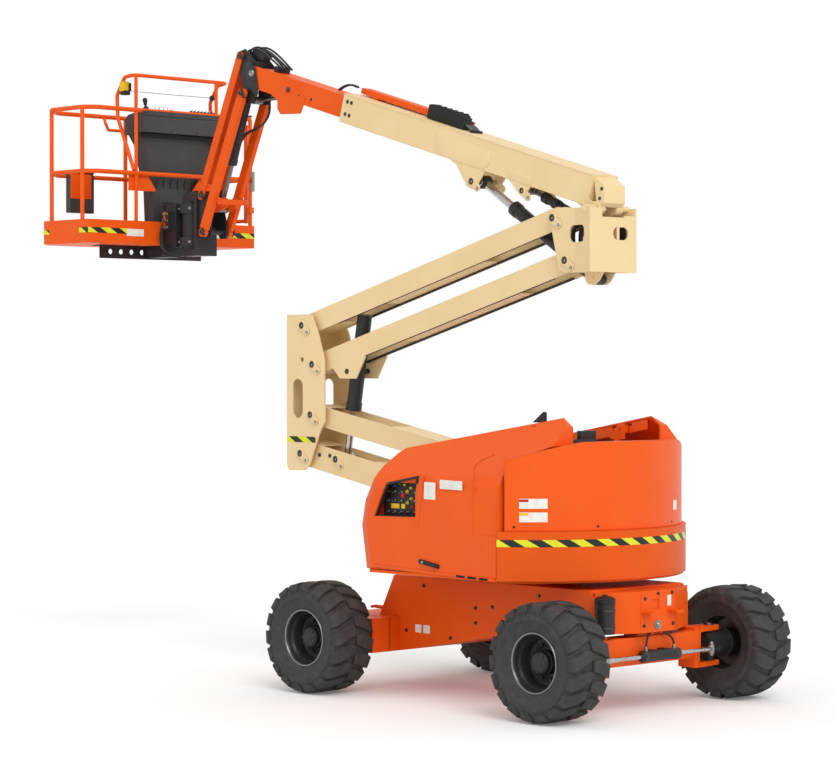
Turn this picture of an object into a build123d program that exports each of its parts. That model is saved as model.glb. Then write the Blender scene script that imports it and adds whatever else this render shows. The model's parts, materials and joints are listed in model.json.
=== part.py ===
# Articulating boom lift: four-wheel chassis, turntable, double-parallelogram tower, telescopic
# main boom, parallelogram jib and work platform.  Millimetres.  Origin on the ground midway
# between the axles, +X towards the counterweight and the steered wheels, +Y to the left, +Z up.
import os
from math import atan2, cos, hypot, pi, radians, sin, sqrt, tan

from build123d import *

os.makedirs("parts", exist_ok=True)

# ---- driving dimensions ----
wheelbase = 2340
track = 1967               # between the middles of the tyres
tyreDiameter = 830
tyreWidth = 380
beadRadius = 205           # where tyre meets rim
lugsPerSide = 18
chassisTop = 865
chassisHalfWidth = 500
turntableBottom = 925
deckThickness = 20
turntableHalfWidth = 980
tailRadius = 1186          # rear of the counterweight, about the swing axis
tailFront = 665            # where deck and hoods end and the counterweight starts
uprightHalfWidth = 170     # outside of the plates that hold the arm pins
plateThickness = 12
armHalfWidth = 120
armWall = 8
armLip = 12                # side plates reach this far below the arm's bottom plate
pinRadius = 25
pinFit = 0.05              # radial running fit at the pins
bigFit = 0.09              # the same at the king pins and the platform's rotator
sideFit = 6                # between an arm's eye and the plate beside it
boomHalfWidth = 130
boomDepth = 228
boomWall = 8
flyHalfWidth = 105
flyDepth = 176
platformLength = 1800      # along Y
platformWidth = 760        # along X
railRadius = 19

# ---- pins of the linkages, (x, z) in the centre plane ----
armPin = {
    "lowerBottomFrame": (199, 1264), "lowerTopFrame": (320, 1572),
    "lowerBottomUpright": (-2288, 1729), "lowerTopUpright": (-2167, 2037),
    "midTopUpright": (-2268, 2745), "midBottomUpright": (-2145, 2436),
    "midTopKnuckle": (445, 3497), "midBottomKnuckle": (568, 3188),
}
boomPin = (805, 3555)
boomAngle = 16.33          # main boom above the horizontal, rising towards -X
boomTail = (806, 3791)     # upper rear corner of the boom box
boomLength = 2735
liftPinBoom = (-415, 3802)
liftPinBase = (728, 3052)
levelPinBoom = (104, 3710)
levelPinBase = (785, 3388)
towerTrunnion = (-1802, 2382)
towerRodPin = (-1926, 1690)
jibHeadPin = (-2945, 4800)     # jib head on the fly boom's nose
slavePinHead = (-3015, 4592)
slavePinFly = (-2240, 4592)
jibLowerTop = (-3040, 4645)
jibLowerBottom = (-3540, 3530)
jibUpperTop = (-3115, 4955)
jibUpperBottom = (-3615, 3840)
jibCylinderHead = (-3062, 4800)
jibCylinderLink = (-3473, 3724)
rotateX = -3850            # vertical axis on which the platform turns
platformFront = -4100      # side of the platform that faces the jib
floorTop = 3475
toeBoardTop = 3635
toeBoardBottom = 3440
topRail = 4565
midRail = 4035
hingeRidge = ((-440, 1811), (830, 2031))   # hood hinge line, (x, z)
hingeY = 474


# ---- helpers ----
def block(x0, x1, y0, y1, z0, z1):
    return Pos((x0 + x1) / 2, (y0 + y1) / 2, (z0 + z1) / 2) * Box(
        abs(x1 - x0), abs(y1 - y0), abs(z1 - z0))


def slab(points, y0, y1):
    """A flat outline of (x, z) points made solid between two Y planes."""
    low = min(y0, y1)
    face = make_face(Polyline(*[(x, 0, z) for x, z in points], close=True))
    return Pos(0, low, 0) * extrude(face, amount=abs(y1 - y0), dir=(0, 1, 0))


def level(points, z0, z1):
    """A flat outline of (x, y) points made solid between two heights."""
    face = make_face(Polyline(*[(x, y, 0) for x, y in points], close=True))
    return Pos(0, 0, z0) * extrude(face, amount=z1 - z0, dir=(0, 0, 1))


def across(points, x0, x1):
    """A flat outline of (y, z) points made solid between two X planes."""
    face = make_face(Polyline(*[(0, y, z) for y, z in points], close=True))
    return Pos(min(x0, x1), 0, 0) * extrude(face, amount=abs(x1 - x0), dir=(1, 0, 0))


def both(shape):
    """The shape and its mirror image on the machine's other side."""
    return shape + mirror(shape, about=Plane.XZ)


def cross(pin, radius, y0, y1):
    """A round bar along Y through an (x, z) point."""
    x, z = pin
    return Pos(x, (y0 + y1) / 2, z) * Rot(90, 0, 0) * Cylinder(radius, abs(y1 - y0))


def bar(start, end, radius):
    start = Vector(*start)
    end = Vector(*end)
    plane = Plane(origin=start, z_dir=(end - start).normalized())
    return extrude(plane * Circle(radius), amount=(end - start).length)


def pipe(points, radius, bend):
    """Round tube through points, each corner taken in an arc."""
    path = FilletPolyline(*points, radius=bend)
    start = Plane(origin=path @ 0, z_dir=path % 0)
    return sweep(start * Circle(radius), path=path)


def along(start, end):
    """Plane whose X runs from one (x, z) point to another and whose Z is across, along -Y."""
    direction = Vector(end[0] - start[0], 0, end[1] - start[1]).normalized()
    return Plane(origin=(start[0], 0, start[1]), x_dir=direction, z_dir=(0, -1, 0))


def distance(start, end):
    return hypot(end[0] - start[0], end[1] - start[1])


def reach(start, end, far):
    """The (x, z) point at a distance from start towards end."""
    share = far / distance(start, end)
    return (start[0] + share * (end[0] - start[0]), start[1] + share * (end[1] - start[1]))


def eye(pin, radius, half):
    return cross(pin, radius, -half, half)


def bore(pin, half, radius=pinRadius + pinFit):
    return cross(pin, radius, -half, half)


def save(name, shape):
    export_step(shape, f"parts/{name}.step")


# ---- wheels ----
axleHeight = tyreDiameter / 2
frontX = wheelbase / 2
rearX = -wheelbase / 2
wheelPlaces = {
    "front_right": (frontX, -1), "front_left": (frontX, 1),
    "rear_right": (rearX, -1), "rear_left": (rearX, 1),
}
hubRadius = 88
rimSeat = beadRadius - 0.5
hubInside = 110            # from the wheel's middle to the inner end of its hub
hubFace = track / 2 - hubInside - 0.3
treadFacets = 2 * lugsPerSide
crownRadius = axleHeight - 24
lugTop = axleHeight - 5.7  # at the middle of a lug's flat top, so that its corners reach the ground


def ring(points):
    """Solid turned about the Y axis from (radius, y) points."""
    face = make_face(Polyline(*[(r, y, 0) for r, y in points], close=True))
    return revolve(face, Axis.Y, 360)


def faceted(sections):
    """Loft through regular outlines about the Y axis, given as (y, radius to a flat)."""
    outlines = []
    for y, radius in sections:
        plane = Plane(origin=(0, y, 0), x_dir=(1, 0, 0), z_dir=(0, 1, 0))
        corner = radius / cos(pi / treadFacets)
        outlines.append(plane * Rot(0, 0, 180 / treadFacets) * RegularPolygon(corner, treadFacets))
    return loft([outline.faces()[0] for outline in outlines], ruled=True)


def tyre():
    half = tyreWidth / 2
    solid = faceted([(-half, 330), (-half + 20, crownRadius), (half - 20, crownRadius),
                     (half, 330)])
    solid -= faceted([(-half - 1, 297), (-half + 42, rimSeat + 0.3),
                      (half - 42, rimSeat + 0.3), (half + 1, 297)])
    profile = [(8, crownRadius - 12), (8, lugTop), (half - 32, lugTop), (half - 5, lugTop - 22),
               (half - 2, lugTop - 50), (half - 22, crownRadius - 25)]
    lugWidth = 100
    slant = 15
    for side in (-1, 1):
        face = make_face(Polyline(*[(0, side * y, z) for y, z in profile], close=True))
        lug = Pos(-lugWidth / 2, 0, 0) * extrude(face, amount=lugWidth, dir=(1, 0, 0))
        middle = side * half / 2
        lug = Pos(0, middle, 0) * Rot(0, 0, side * slant) * Pos(0, -middle, 0) * lug
        stagger = 0 if side < 0 else 180 / lugsPerSide
        for number in range(lugsPerSide):
            solid += Rot(0, stagger + number * 360 / lugsPerSide, 0) * lug
    return solid


def rim():
    """Deep rim, its outer side towards -Y, with the drum of the drive hub in the middle."""
    half = tyreWidth / 2 - 44
    seat = rimSeat
    shell = ring([
        (seat, -half), (seat, half), (seat - 12, half), (seat - 14, half - 40),
        (seat - 30, half - 70), (seat - 30, 5), (hubRadius - 10, 5), (hubRadius - 10, -8),
        (seat - 42, -8), (seat - 42, half - 140), (seat - 14, -half + 30), (seat - 12, -half),
    ])
    drum = ring([(0, -118), (hubRadius - 12, -118), (hubRadius, -104), (hubRadius, hubInside),
                 (0, hubInside)])
    return shell + drum


tyreShape = tyre()
rimShape = rim()
for name, (x, side) in wheelPlaces.items():
    turn = 0 if side < 0 else 180
    place = Pos(x, side * track / 2, axleHeight) * Rot(0, 0, turn)
    save("tyre_" + name, place * tyreShape)
    save("rim_" + name, place * rimShape)

# ---- chassis ----
tubeFront = rearX + 360    # the rear axle's cross tube
tubeRear = rearX - 190
tubeTop = 556
tubeBottom = 302
tubeHalf = track / 2 - 203
sideOutline = [
    (rearX + 302, chassisTop), (rearX + 144, tubeTop), (tubeFront, tubeTop),
    (tubeFront, tubeBottom), (125, 464), (820, 560), (1150, 560), (1150, 800),
    (1100, chassisTop),
]
chassis = both(slab(sideOutline, chassisHalfWidth - plateThickness, chassisHalfWidth))
chassis += block(rearX + 302, 1100, -chassisHalfWidth, chassisHalfWidth, chassisTop - 12,
                 chassisTop)
chassis += slab([(tubeFront, tubeBottom), (125, 464), (820, 560), (820, 572), (125, 476),
                 (tubeFront, tubeBottom + 12)], -chassisHalfWidth, chassisHalfWidth)
chassis += block(1088, 1100, -chassisHalfWidth, chassisHalfWidth, 565, chassisTop)
chassis += slab([(rearX + 302, chassisTop), (rearX + 144, tubeTop), (rearX + 157, tubeTop),
                 (rearX + 315, chassisTop)], -chassisHalfWidth, chassisHalfWidth)
chassis += level([(1100, -495), (1300, -185), (1300, 185), (1100, 495)], 840, 852)
for side in (-1, 1):
    wing = [(1150, side * 495), (1300, side * 185), (1288, side * 180), (1138, side * 490)]
    chassis += level(wing if side < 0 else wing[::-1], 560, 852)
chassis += block(1288, 1300, -185, 185, 560, 852)
chassis += both(block(1100, 1290, 40, 60, 549, 845))
lugHoleRadius = 24         # tie-down lugs: level plates, their holes upright
frontLug = (1345, 141, 700)
rearLug = (rearX + 85, 480, 610)
for side in (-1, 1):
    x, y, z = frontLug
    chassis += block(1300, x + 40, side * (y - 40), side * (y + 40), z - 10, z + 10)
    chassis -= Pos(x, side * y, z) * Cylinder(lugHoleRadius, 60)
    x, y, z = rearLug
    chassis += block(x - 40, rearX + 230, side * (y - 40), side * (y + 20), z - 10, z + 10)
    chassis -= Pos(x, side * y, z) * Cylinder(lugHoleRadius, 60)
chassis += Pos(0, 0, chassisTop + (turntableBottom - 17 - chassisTop) / 2) * Cylinder(
    400, turntableBottom - 17 - chassisTop)
chassis -= block(1290, 1310, -60, 10, 720, 790)
save("chassis_frame", chassis)

axleTube = block(tubeRear, tubeFront, -tubeHalf, tubeHalf, tubeBottom, tubeTop)
axleTube -= block(tubeRear + 14, tubeFront - 14, -tubeHalf + 14, tubeHalf - 14,
                  tubeBottom + 14, tubeTop - 14)
axleTube += both(bar((rearX, tubeHalf - 5, axleHeight), (rearX, hubFace, axleHeight), 120))
save("rear_axle", axleTube)

kingPinY = track / 2 - 278
kingPinRadius = 22
forkHigh = 552
forkLow = 262
forkPlate = 36
beam = slab([(frontX - 85, 400), (frontX - 85, 530), (frontX + 85, 530), (frontX + 85, 400),
             (frontX + 45, 330), (frontX - 45, 330)], -520, 520)
beam += block(frontX - 60, frontX + 60, -150, 150, 528, 549)
for side in (-1, 1):
    for z0 in (forkHigh - forkPlate, forkLow):
        inner = side * 515
        outer = side * (kingPinY + 62)
        shape = [(frontX - 85, inner), (frontX + 85, inner), (frontX + 48, outer),
                 (frontX - 48, outer)]
        beam += level(shape, z0, z0 + forkPlate)
    beam += block(frontX - 85, frontX + 70, side * 470, side * 528, forkLow, forkHigh)
    beam -= Pos(frontX, side * kingPinY, axleHeight) * Cylinder(kingPinRadius + bigFit, 400)
save("front_axle", beam)

steerX = frontX + 146
steerHeight = 398
cylinder = bar((steerX, -185, steerHeight), (steerX, 185, steerHeight), 40)
cylinder += both(block(frontX + 85, steerX, 40, 90, 360, 440))
cylinder -= bar((steerX, -190, steerHeight), (steerX, 190, steerHeight), 16.05)
save("steer_cylinder", cylinder)

rodEnd = kingPinY - 118
rod = bar((steerX, -470, steerHeight), (steerX, 470, steerHeight), 16)
rod += both(bar((steerX, 470, steerHeight), (steerX, rodEnd, steerHeight), 21))
save("steer_rod", rod)

for name, side in (("right", -1), ("left", 1)):
    drum = bar((frontX, side * 610, axleHeight), (frontX, side * hubFace, axleHeight), 97)
    pin = Pos(frontX, side * kingPinY, axleHeight - 8) * Cylinder(
        44, forkHigh - forkLow - 2 * forkPlate - 2)
    pin += Pos(frontX, side * kingPinY, axleHeight - 8) * Cylinder(
        kingPinRadius, forkHigh - forkLow + 16)
    tip = side * (kingPinY - 85)
    arm = level([(frontX + 20, side * (kingPinY - 40)), (frontX + 20, side * (kingPinY + 20)),
                 (steerX + 25, tip + side * 25), (steerX + 25, tip - side * 25),
                 (steerX - 25, tip - side * 25)][::-side], steerHeight - 15, steerHeight + 15)
    save("knuckle_" + name, drum + pin + arm)

wingPlane = Plane(origin=(1150, -495, 695), x_dir=(150, 310, 0), z_dir=(310, -150, 0))
canister = Pos(1245, -500, 695) * Cylinder(70, 240)
canister += Pos(1245, -500, 820) * Cylinder(58, 14)
canister += wingPlane * Pos(36, 0, 25) * Box(60, 110, 50)
save("canister", canister)

# ---- turntable ----
deckTop = turntableBottom + deckThickness
hoodSeat = deckTop + 5.5
deckPlan = [(-625, -turntableHalfWidth), (tailFront, -turntableHalfWidth),
            (tailFront, turntableHalfWidth), (-625, turntableHalfWidth),
            (-738, turntableHalfWidth - 113), (-738, -turntableHalfWidth + 113)]
frame = level(deckPlan, turntableBottom, deckTop)
frame += Pos(0, 0, turntableBottom - 8) * Cylinder(380, 18)
cheek = [(-160, deckTop), (tailFront, deckTop), (tailFront, 1500), (430, 1660), (250, 1660),
         (60, 1400), (60, 1150)]
frame += both(slab(cheek, uprightHalfWidth - plateThickness, uprightHalfWidth))
frame += block(560, tailFront, -158, 158, deckTop, 1300)
frame -= both(block(-420, 520, 300, 820, turntableBottom - 5, deckTop + 5))
for pin in ("lowerBottomFrame", "lowerTopFrame"):
    frame += cross(armPin[pin], pinRadius, -uprightHalfWidth, uprightHalfWidth)


def ridge(x):
    """Height of the hood's hinge line at an x."""
    (x0, z0), (x1, z1) = hingeRidge
    return z0 + (z1 - z0) * (x - x0) / (x1 - x0)


hingePinRadius = 8
hingeRoom = 14             # between the hinge line and the roof over it
for x in (-150, 540):
    top = ridge(x) - 30
    frame += both(block(x - 25, x + 25, 410, 440, deckTop, top + 20))
    if x < 0:
        frame += block(x - 25, x + 25, -440, 440, deckTop, deckTop + 30)
    else:
        frame += both(block(x - 25, x + 25, 165, 440, 1300, 1350))
    for end in (x - 62, x + 42):
        frame += both(block(end, end + 20, 410, hingeY + 12, ridge(end) - 50, ridge(end) - 4))
    frame += both(block(x - 62, x + 62, 410, 440, ridge(x) - 90, ridge(x) - 36))
    frame += both(bar((x - 60, hingeY, ridge(x - 60)), (x + 60, hingeY, ridge(x + 60)),
                      hingePinRadius))
save("turntable_frame", frame)


def tail(radius, front, half, z0, z1):
    """Rear part of the turntable: straight front and sides, the rear an arc about the swing."""
    corner = sqrt(radius ** 2 - half ** 2)
    outline = Polyline((corner, -half, 0), (front, -half, 0), (front, half, 0),
                       (corner, half, 0))
    arc = ThreePointArc((corner, half, 0), (radius, 0, 0), (corner, -half, 0))
    return Pos(0, 0, z0) * extrude(make_face([*outline.edges(), arc]), amount=z1 - z0,
                                   dir=(0, 0, 1))


coverBottom = 1278
weight = tail(tailRadius, tailFront, turntableHalfWidth, turntableBottom - 8, coverBottom)
weight -= tail(tailRadius + 40, tailFront - 30, turntableHalfWidth + 40, 900, 931) - tail(
    tailRadius - 18, tailFront - 60, turntableHalfWidth - 14, 890, 935)
save("counterweight", weight)

coverOuter = tail(1156, tailFront + 20, 925, coverBottom, 1900)
coverInner = tail(1140, tailFront - 20, 909, coverBottom - 5, 1884)
coverRoof = [(600, 1735), (1050, 1905), (1250, 1915), (1250, 2300), (600, 2300)]
cover = coverOuter - slab(coverRoof, -1000, 1000)
cover -= coverInner - Pos(0, 0, -12) * slab(coverRoof, -1000, 1000)
cover += slab([(1040, 1890), (1148, 1894), (1148, 1870), (1100, 1770), (1040, 1850)], -14, 14)
save("rear_cover", cover)

save("engine", block(-440, 535, 470, 850, deckTop, 1500))

controlBox = block(-535, -170, -905, -830, 1330, 1620)
controlBox += block(-400, -330, -860, -820, deckTop, 1330)
save("ground_controls", controlBox)


def hood_solid(inset):
    """Right hood's outside when inset is 0, its hollow when inset is the wall."""
    low = hoodSeat - (20 if inset else 0)
    side = turntableHalfWidth - inset
    corner = 115 - inset
    inner = hingeY - 6
    plans = []
    for x, z in ((-722, low), (-773, 1262), (-735, 1449), (-650, 1598), (-590, 1705),
                 (-545, 1790), (-505, 1824), (-505, 2150)):
        front = x + inset
        rear = 1010 - inset
        bend = corner * 0.29
        plans.append(make_face(Polyline(
            (front, -inner, z), (front, -side + corner, z), (front + bend, -side + bend, z),
            (front + corner, -side, z), (rear, -side, z), (rear, -inner, z), close=True)))
    solid = loft(plans, ruled=True)
    drop = inset * 1.05
    solid -= slab([(-510, 1826 - drop), (830, 2065 - drop), (1100, 1860 - drop), (1100, 2300),
                   (-510, 2300)], -1100, 0)
    solid -= slab([(tailFront - 6 - inset, 0), (1200, 0), (1200, 1872 + inset),
                   (925, 1872 + inset), (tailFront - 6 - inset, 1770 + inset)], -1100, 0)
    solid -= slab([(918 - inset, 1700), (1200, 1700), (1200, 2200), (918 - inset, 2200)],
                  -1100, 0)
    roof = [(-side - 50, 1500), (-side, 1515 - inset), (-side + 14, 1580 - inset),
            (-side + 62, 1650 - inset), (-450, 2080 - inset), (-450, 2400), (-side - 50, 2400)]
    solid -= across(roof, -1000, 1200)
    return solid


def hood():
    wall = 14
    solid = hood_solid(0) - hood_solid(wall)
    solid -= slab([(-577, 1336), (-459, 1575), (-146, 1634), (-146, 1345)], -1100, -940)
    solid -= level([(450, -981), (450, -1000), (670, -1000), (670, -971)], 1246, 1702)
    solid += slab([(-150, 1290), (-110, 1290), (-60, 1640), (-105, 1640)], -982, -968)
    solid += slab([(-370, ridge(-370) - 60), (790, ridge(790) - 60), (790, ridge(790) + 15),
                   (-370, ridge(-370) + 15)], -hingeY - 2, -hingeY + 6)
    for x in (-150, 540):
        solid -= slab([(x - 75, ridge(x) - 100), (x + 75, ridge(x) - 100),
                       (x + 75, ridge(x + 75) + hingeRoom), (x - 75, ridge(x - 75) + hingeRoom)],
                      -hingeY - 60, -hingeY + 60)
        solid += bar((x - 38, -hingeY, ridge(x - 38)), (x + 38, -hingeY, ridge(x + 38)), 19)
        solid += block(x - 30, x + 30, -hingeY - 13, -hingeY + 13, ridge(x), ridge(x) + 24)
        solid -= bar((x - 100, -hingeY, ridge(x - 100)), (x + 100, -hingeY, ridge(x + 100)),
                     hingePinRadius + pinFit)
    return solid


hoodRight = hood()
save("hood_right", hoodRight)
save("hood_left", mirror(hoodRight, about=Plane.XZ))

# ---- tower: lower arms, upright, middle arms, knuckle ----
eyeHalf = uprightHalfWidth - plateThickness - sideFit
stubInside = 92            # the knuckle's pins are stubs that leave its middle free


def arm(start, end, depth, openEnd=0):
    """Hollow arm with rounded, bored ends, open for a length at its end to let cylinders by."""
    half = depth / 2
    length = distance(start, end)
    outer = Pos(length / 2, 0, 0) * Box(length, depth, 2 * armHalfWidth)
    hollow = Pos(length / 2, armLip / 2, 0) * Box(
        length + 2 * depth, depth - 2 * armWall - armLip, 2 * (armHalfWidth - armWall))
    lip = Pos(length / 2, -half + armLip / 2 - 1, 0) * Box(
        length + 2 * depth, armLip + 2, 2 * (armHalfWidth - armWall))
    solid = along(start, end) * outer
    solid += eye(start, half, armHalfWidth) + eye(end, half, armHalfWidth)
    solid -= along(start, end) * hollow + along(start, end) * lip
    solid += eye(start, 48, eyeHalf) + eye(end, 48, eyeHalf)
    solid -= bore(start, 400) + bore(end, 400)
    if openEnd:
        inside = armHalfWidth - armWall
        solid -= along(start, end) * Pos(length - openEnd / 2 + 100, 0, 0) * Box(
            openEnd + 200, depth + 60, 2 * stubInside)
        solid -= along(start, end) * Pos(length - openEnd / 2 - 30, 0, 0) * Box(
            openEnd - 60, depth + 60, 2 * inside)
    return solid


def slot(x0, x1, z0, z1):
    """Cut for a cylinder that passes between the side plates of an arm."""
    return block(x0, x1, -armHalfWidth + armWall, armHalfWidth - armWall, z0, z1)


def pin_heads(pin, radius, inside, outside):
    """The ends of a pin that show outside the plates it is held in."""
    return cross(pin, radius, -outside, -inside) + cross(pin, radius, inside, outside)


lowerTop = arm(armPin["lowerTopUpright"], armPin["lowerTopFrame"], 160)
lowerTop -= slot(-2060, -1300, 1700, 2400)
save("lower_arm_top", lowerTop)

lowerBottom = arm(armPin["lowerBottomUpright"], armPin["lowerBottomFrame"], 196)
lowerBottom -= slot(-2110, -1500, 1600, 2400)
lowerBottom += pin_heads(towerRodPin, pinRadius, armHalfWidth, armHalfWidth + 6)
save("lower_arm_bottom", lowerBottom)

uprightOutline = [
    (-2455, 2831), (-2162, 2831), (-2085, 2680), (-2035, 2541), (-2012, 2461), (-2005, 1982),
    (-2058, 1911), (-2185, 1637), (-2245, 1595), (-2430, 1590), (-2455, 1630),
]
upright = both(slab(uprightOutline, uprightHalfWidth - plateThickness, uprightHalfWidth))
upright += block(-2455, -2443, -uprightHalfWidth, uprightHalfWidth, 1640, 2831)
upright -= block(-2385, -2265, -400, 400, 2070, 2260)
upright -= cross((-2325, 2260), 60, -400, 400) + cross((-2325, 2070), 60, -400, 400)
upright -= cross((-2275, 2473), 20, -400, 400)
for pin in ("midTopUpright", "midBottomUpright", "lowerTopUpright", "lowerBottomUpright"):
    upright += cross(armPin[pin], pinRadius, -uprightHalfWidth - 8, uprightHalfWidth + 8)
save("upright", upright)

midTop = arm(armPin["midTopUpright"], armPin["midTopKnuckle"], 160, 860)
midTop -= slot(-1930, -1420, 2560, 3000)
save("mid_arm_top", midTop)

midBottom = arm(armPin["midBottomUpright"], armPin["midBottomKnuckle"], 158, 620)
midBottom -= slot(-1960, -1230, 2400, 2900)
bracket = [(-2000, 2440), (-1700, 2560), (-1590, 2500), (-1700, 2325), (-1885, 2325)]
midBottom += both(slab(bracket, armHalfWidth - plateThickness, armHalfWidth))
midBottom -= bore(towerTrunnion, 400, 20.05)
save("mid_arm_bottom", midBottom)

knuckleEnd = 877
knuckleBend = 660
knuckleSide = [
    (400, 3560), (560, 3570), (knuckleBend, 3560), (knuckleBend, 3098), (560, 3098),
    (500, 3130), (440, 3380),
]
flareHalf = 248
plateInside = uprightHalfWidth - plateThickness
side = slab(knuckleSide, plateInside, uprightHalfWidth)
side += level([(knuckleBend, uprightHalfWidth), (knuckleBend, plateInside),
               (knuckleEnd, flareHalf - 12), (knuckleEnd, flareHalf)], 3098, 3560)
knuckle = both(side)
knuckle += block(knuckleEnd - 12, knuckleEnd, -flareHalf, -30, 3098, 3555)
knuckle += block(knuckleEnd - 12, knuckleEnd, -30, flareHalf, 3098, 3505)
knuckle -= block(knuckleEnd - 20, knuckleEnd + 5, -119, 119, 3492, 3600)
knuckle += level([(knuckleBend, -plateInside), (knuckleEnd - 6, 6 - flareHalf),
                  (knuckleEnd - 6, flareHalf - 6), (knuckleBend, plateInside)], 3098, 3110)
knuckle -= block(650, 850, -58, 58, 3090, 3120)
lug = [(660, 3110), (850, 3110), (800, 3040), (760, 3012), (700, 3012), (672, 3040)]
knuckle += both(slab(lug, 58, 70))
sideHole = Pos(700, 0, 3376) * Rot(90, 0, 0) * extrude(RectangleRounded(180, 122, 40), 400,
                                                       both=True)
knuckle -= sideHole
endHole = Plane(origin=(knuckleEnd - 25, 78, 3376), x_dir=(0, 1, 0), z_dir=(1, 0, 0))
knuckle -= extrude(endHole * RectangleRounded(160, 92, 45), amount=60)
levelLug = [(870, 3450), (870, 3326), (800, 3350), (762, 3370), (762, 3405), (800, 3425)]
knuckle += slab(levelLug, -58, -46)
knuckle += slab(levelLug, 46, 58)
knuckle += block(865, 877, 40, 64, 3320, 3460)
for pin in ("midTopKnuckle", "midBottomKnuckle"):
    knuckle += both(cross(armPin[pin], pinRadius, stubInside, uprightHalfWidth + 8))
knuckle += both(cross(boomPin, pinRadius, 62, 225))
knuckle += cross(liftPinBase, 22, -76, 76) + cross(levelPinBase, 18, -58, 58)
save("knuckle", knuckle)


# ---- cylinders ----
def rod_line(start, end, radius):
    return bar((start[0], 0, start[1]), (end[0], 0, end[1]), radius)


def cylinder_pair(name, base, head, size):
    """Barrel on a pin at base and rod at head, in line; the rod carries its own pin.

    size has: foot and mouth of the barrel and start of the rod, all from base; barrel and rod
    radius; basePin, headPin and headEye radius; halfPin, how far the head pin reaches to each side."""
    barrel = rod_line(reach(base, head, size["foot"]), reach(base, head, size["mouth"]),
                      size["barrel"])
    barrel += rod_line(reach(base, head, size["mouth"] - 45), reach(base, head, size["mouth"]),
                       size["barrel"] + 5)
    barrel -= rod_line(reach(base, head, size["foot"] + 25),
                       reach(base, head, size["mouth"] + 5), size["rod"] + 0.05)
    barrel += eye(base, size["basePin"] + 20, 44)
    barrel -= bore(base, 400, size["basePin"] + pinFit)
    rodSolid = rod_line(reach(base, head, size["start"]), head, size["rod"])
    rodSolid += eye(head, size["headEye"], 42)
    rodSolid += cross(head, size["headPin"], -size["halfPin"], size["halfPin"])
    save(name + "_barrel", barrel)
    save(name + "_rod", rodSolid)


boomPlateInside = boomHalfWidth - plateThickness
cylinder_pair("lift", liftPinBase, liftPinBoom, {
    "foot": 20, "mouth": 770, "start": 125, "barrel": 52, "rod": 30, "basePin": 22,
    "headPin": 22, "headEye": 40, "halfPin": boomPlateInside - 0.3})
cylinder_pair("level", levelPinBase, levelPinBoom, {
    "foot": 15, "mouth": 520, "start": 75, "barrel": 34, "rod": 18, "basePin": 18,
    "headPin": 18, "headEye": 28, "halfPin": boomPlateInside - 0.3})

towerTop = reach(towerRodPin, towerTrunnion, 1152)
towerFoot = reach(towerTop, towerRodPin, 760)
towerBarrel = rod_line(towerTop, towerFoot, 58)
towerBarrel += rod_line(reach(towerTop, towerRodPin, 700), towerFoot, 64)
towerBarrel -= rod_line(reach(towerTop, towerRodPin, 30), reach(towerTop, towerRodPin, 800),
                        28.05)
towerBarrel += both(cross(towerTrunnion, 20, 50, armHalfWidth + 5))
save("tower_barrel", towerBarrel)
towerRod = rod_line(reach(towerTop, towerRodPin, 165), towerRodPin, 28)
towerRod += eye(towerRodPin, 50, 45)
armInside = armHalfWidth - armWall
towerRod += cross(towerRodPin, pinRadius, -armInside + 0.3, armInside - 0.3)
save("tower_rod", towerRod)

# ---- main boom, fly boom ----
slopeX = -cos(radians(boomAngle))
slopeZ = sin(radians(boomAngle))


def boom_at(distanceAlong, below):
    """The (x, z) point that far from the tail and that far below the boom's top face."""
    x = boomTail[0] + slopeX * distanceAlong - slopeZ * below
    z = boomTail[1] + slopeZ * distanceAlong + slopeX * below
    return (x, z)


def boom_box(s0, s1, d0, d1, y0, y1):
    """Box between two distances along the boom, two depths below its top and two Y planes."""
    corners = [boom_at(s0, d0), boom_at(s1, d0), boom_at(s1, d1), boom_at(s0, d1)]
    return slab(corners, y0, y1)


flyTop = 24
flyTail = 850
boomInside = boomHalfWidth - boomWall
boom = boom_box(0, boomLength, 0, boomDepth, -boomHalfWidth, boomHalfWidth)
boom -= boom_box(boomWall, boomLength + 5, boomWall, boomDepth - boomWall,
                 -boomInside, boomInside)
boom += slab([(790, 3785), (885, 3715), (885, 3590), (850, 3562), (815, 3588)], -113, 113)
liftPlate = [(-684, 4000), (-579, 3933), (-474, 3772), (-418, 3745), (-360, 3774),
             (-217, 3958), (-227, 3990)]
levelPlate = [(-125, 3850), (-34, 3796), (60, 3692), (104, 3676), (140, 3690),
              (206, 3760), (120, 3800)]
heel = [boom_at(190, boomDepth - 60), boom_at(20, boomDepth - 60), (850, 3560), (835, 3515),
        (805, 3503), (770, 3518), (640, 3600)]
for outline in (liftPlate, levelPlate, heel):
    boom += both(slab(outline, boomPlateInside, boomHalfWidth))
boom += pin_heads(liftPinBoom, 22, boomHalfWidth, boomHalfWidth + 6)
boom += pin_heads(levelPinBoom, 18, boomHalfWidth, boomHalfWidth + 6)
boom += both(cross(boomPin, 50, 62, boomHalfWidth))
boom -= bore(boomPin, 400)
for pads in ((boomLength - 140, boomLength - 20), (1100, 1220)):
    padGap = 0.3
    flySide = flyHalfWidth + padGap
    boom += both(boom_box(*pads, flyTop + 20, flyTop + flyDepth - 20, flySide, boomInside))
    boom += boom_box(*pads, boomWall, flyTop - padGap, -60, 60)
    boom += boom_box(*pads, flyTop + flyDepth + padGap, boomDepth - boomWall, -60, 60)
save("main_boom", boom)

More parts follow.
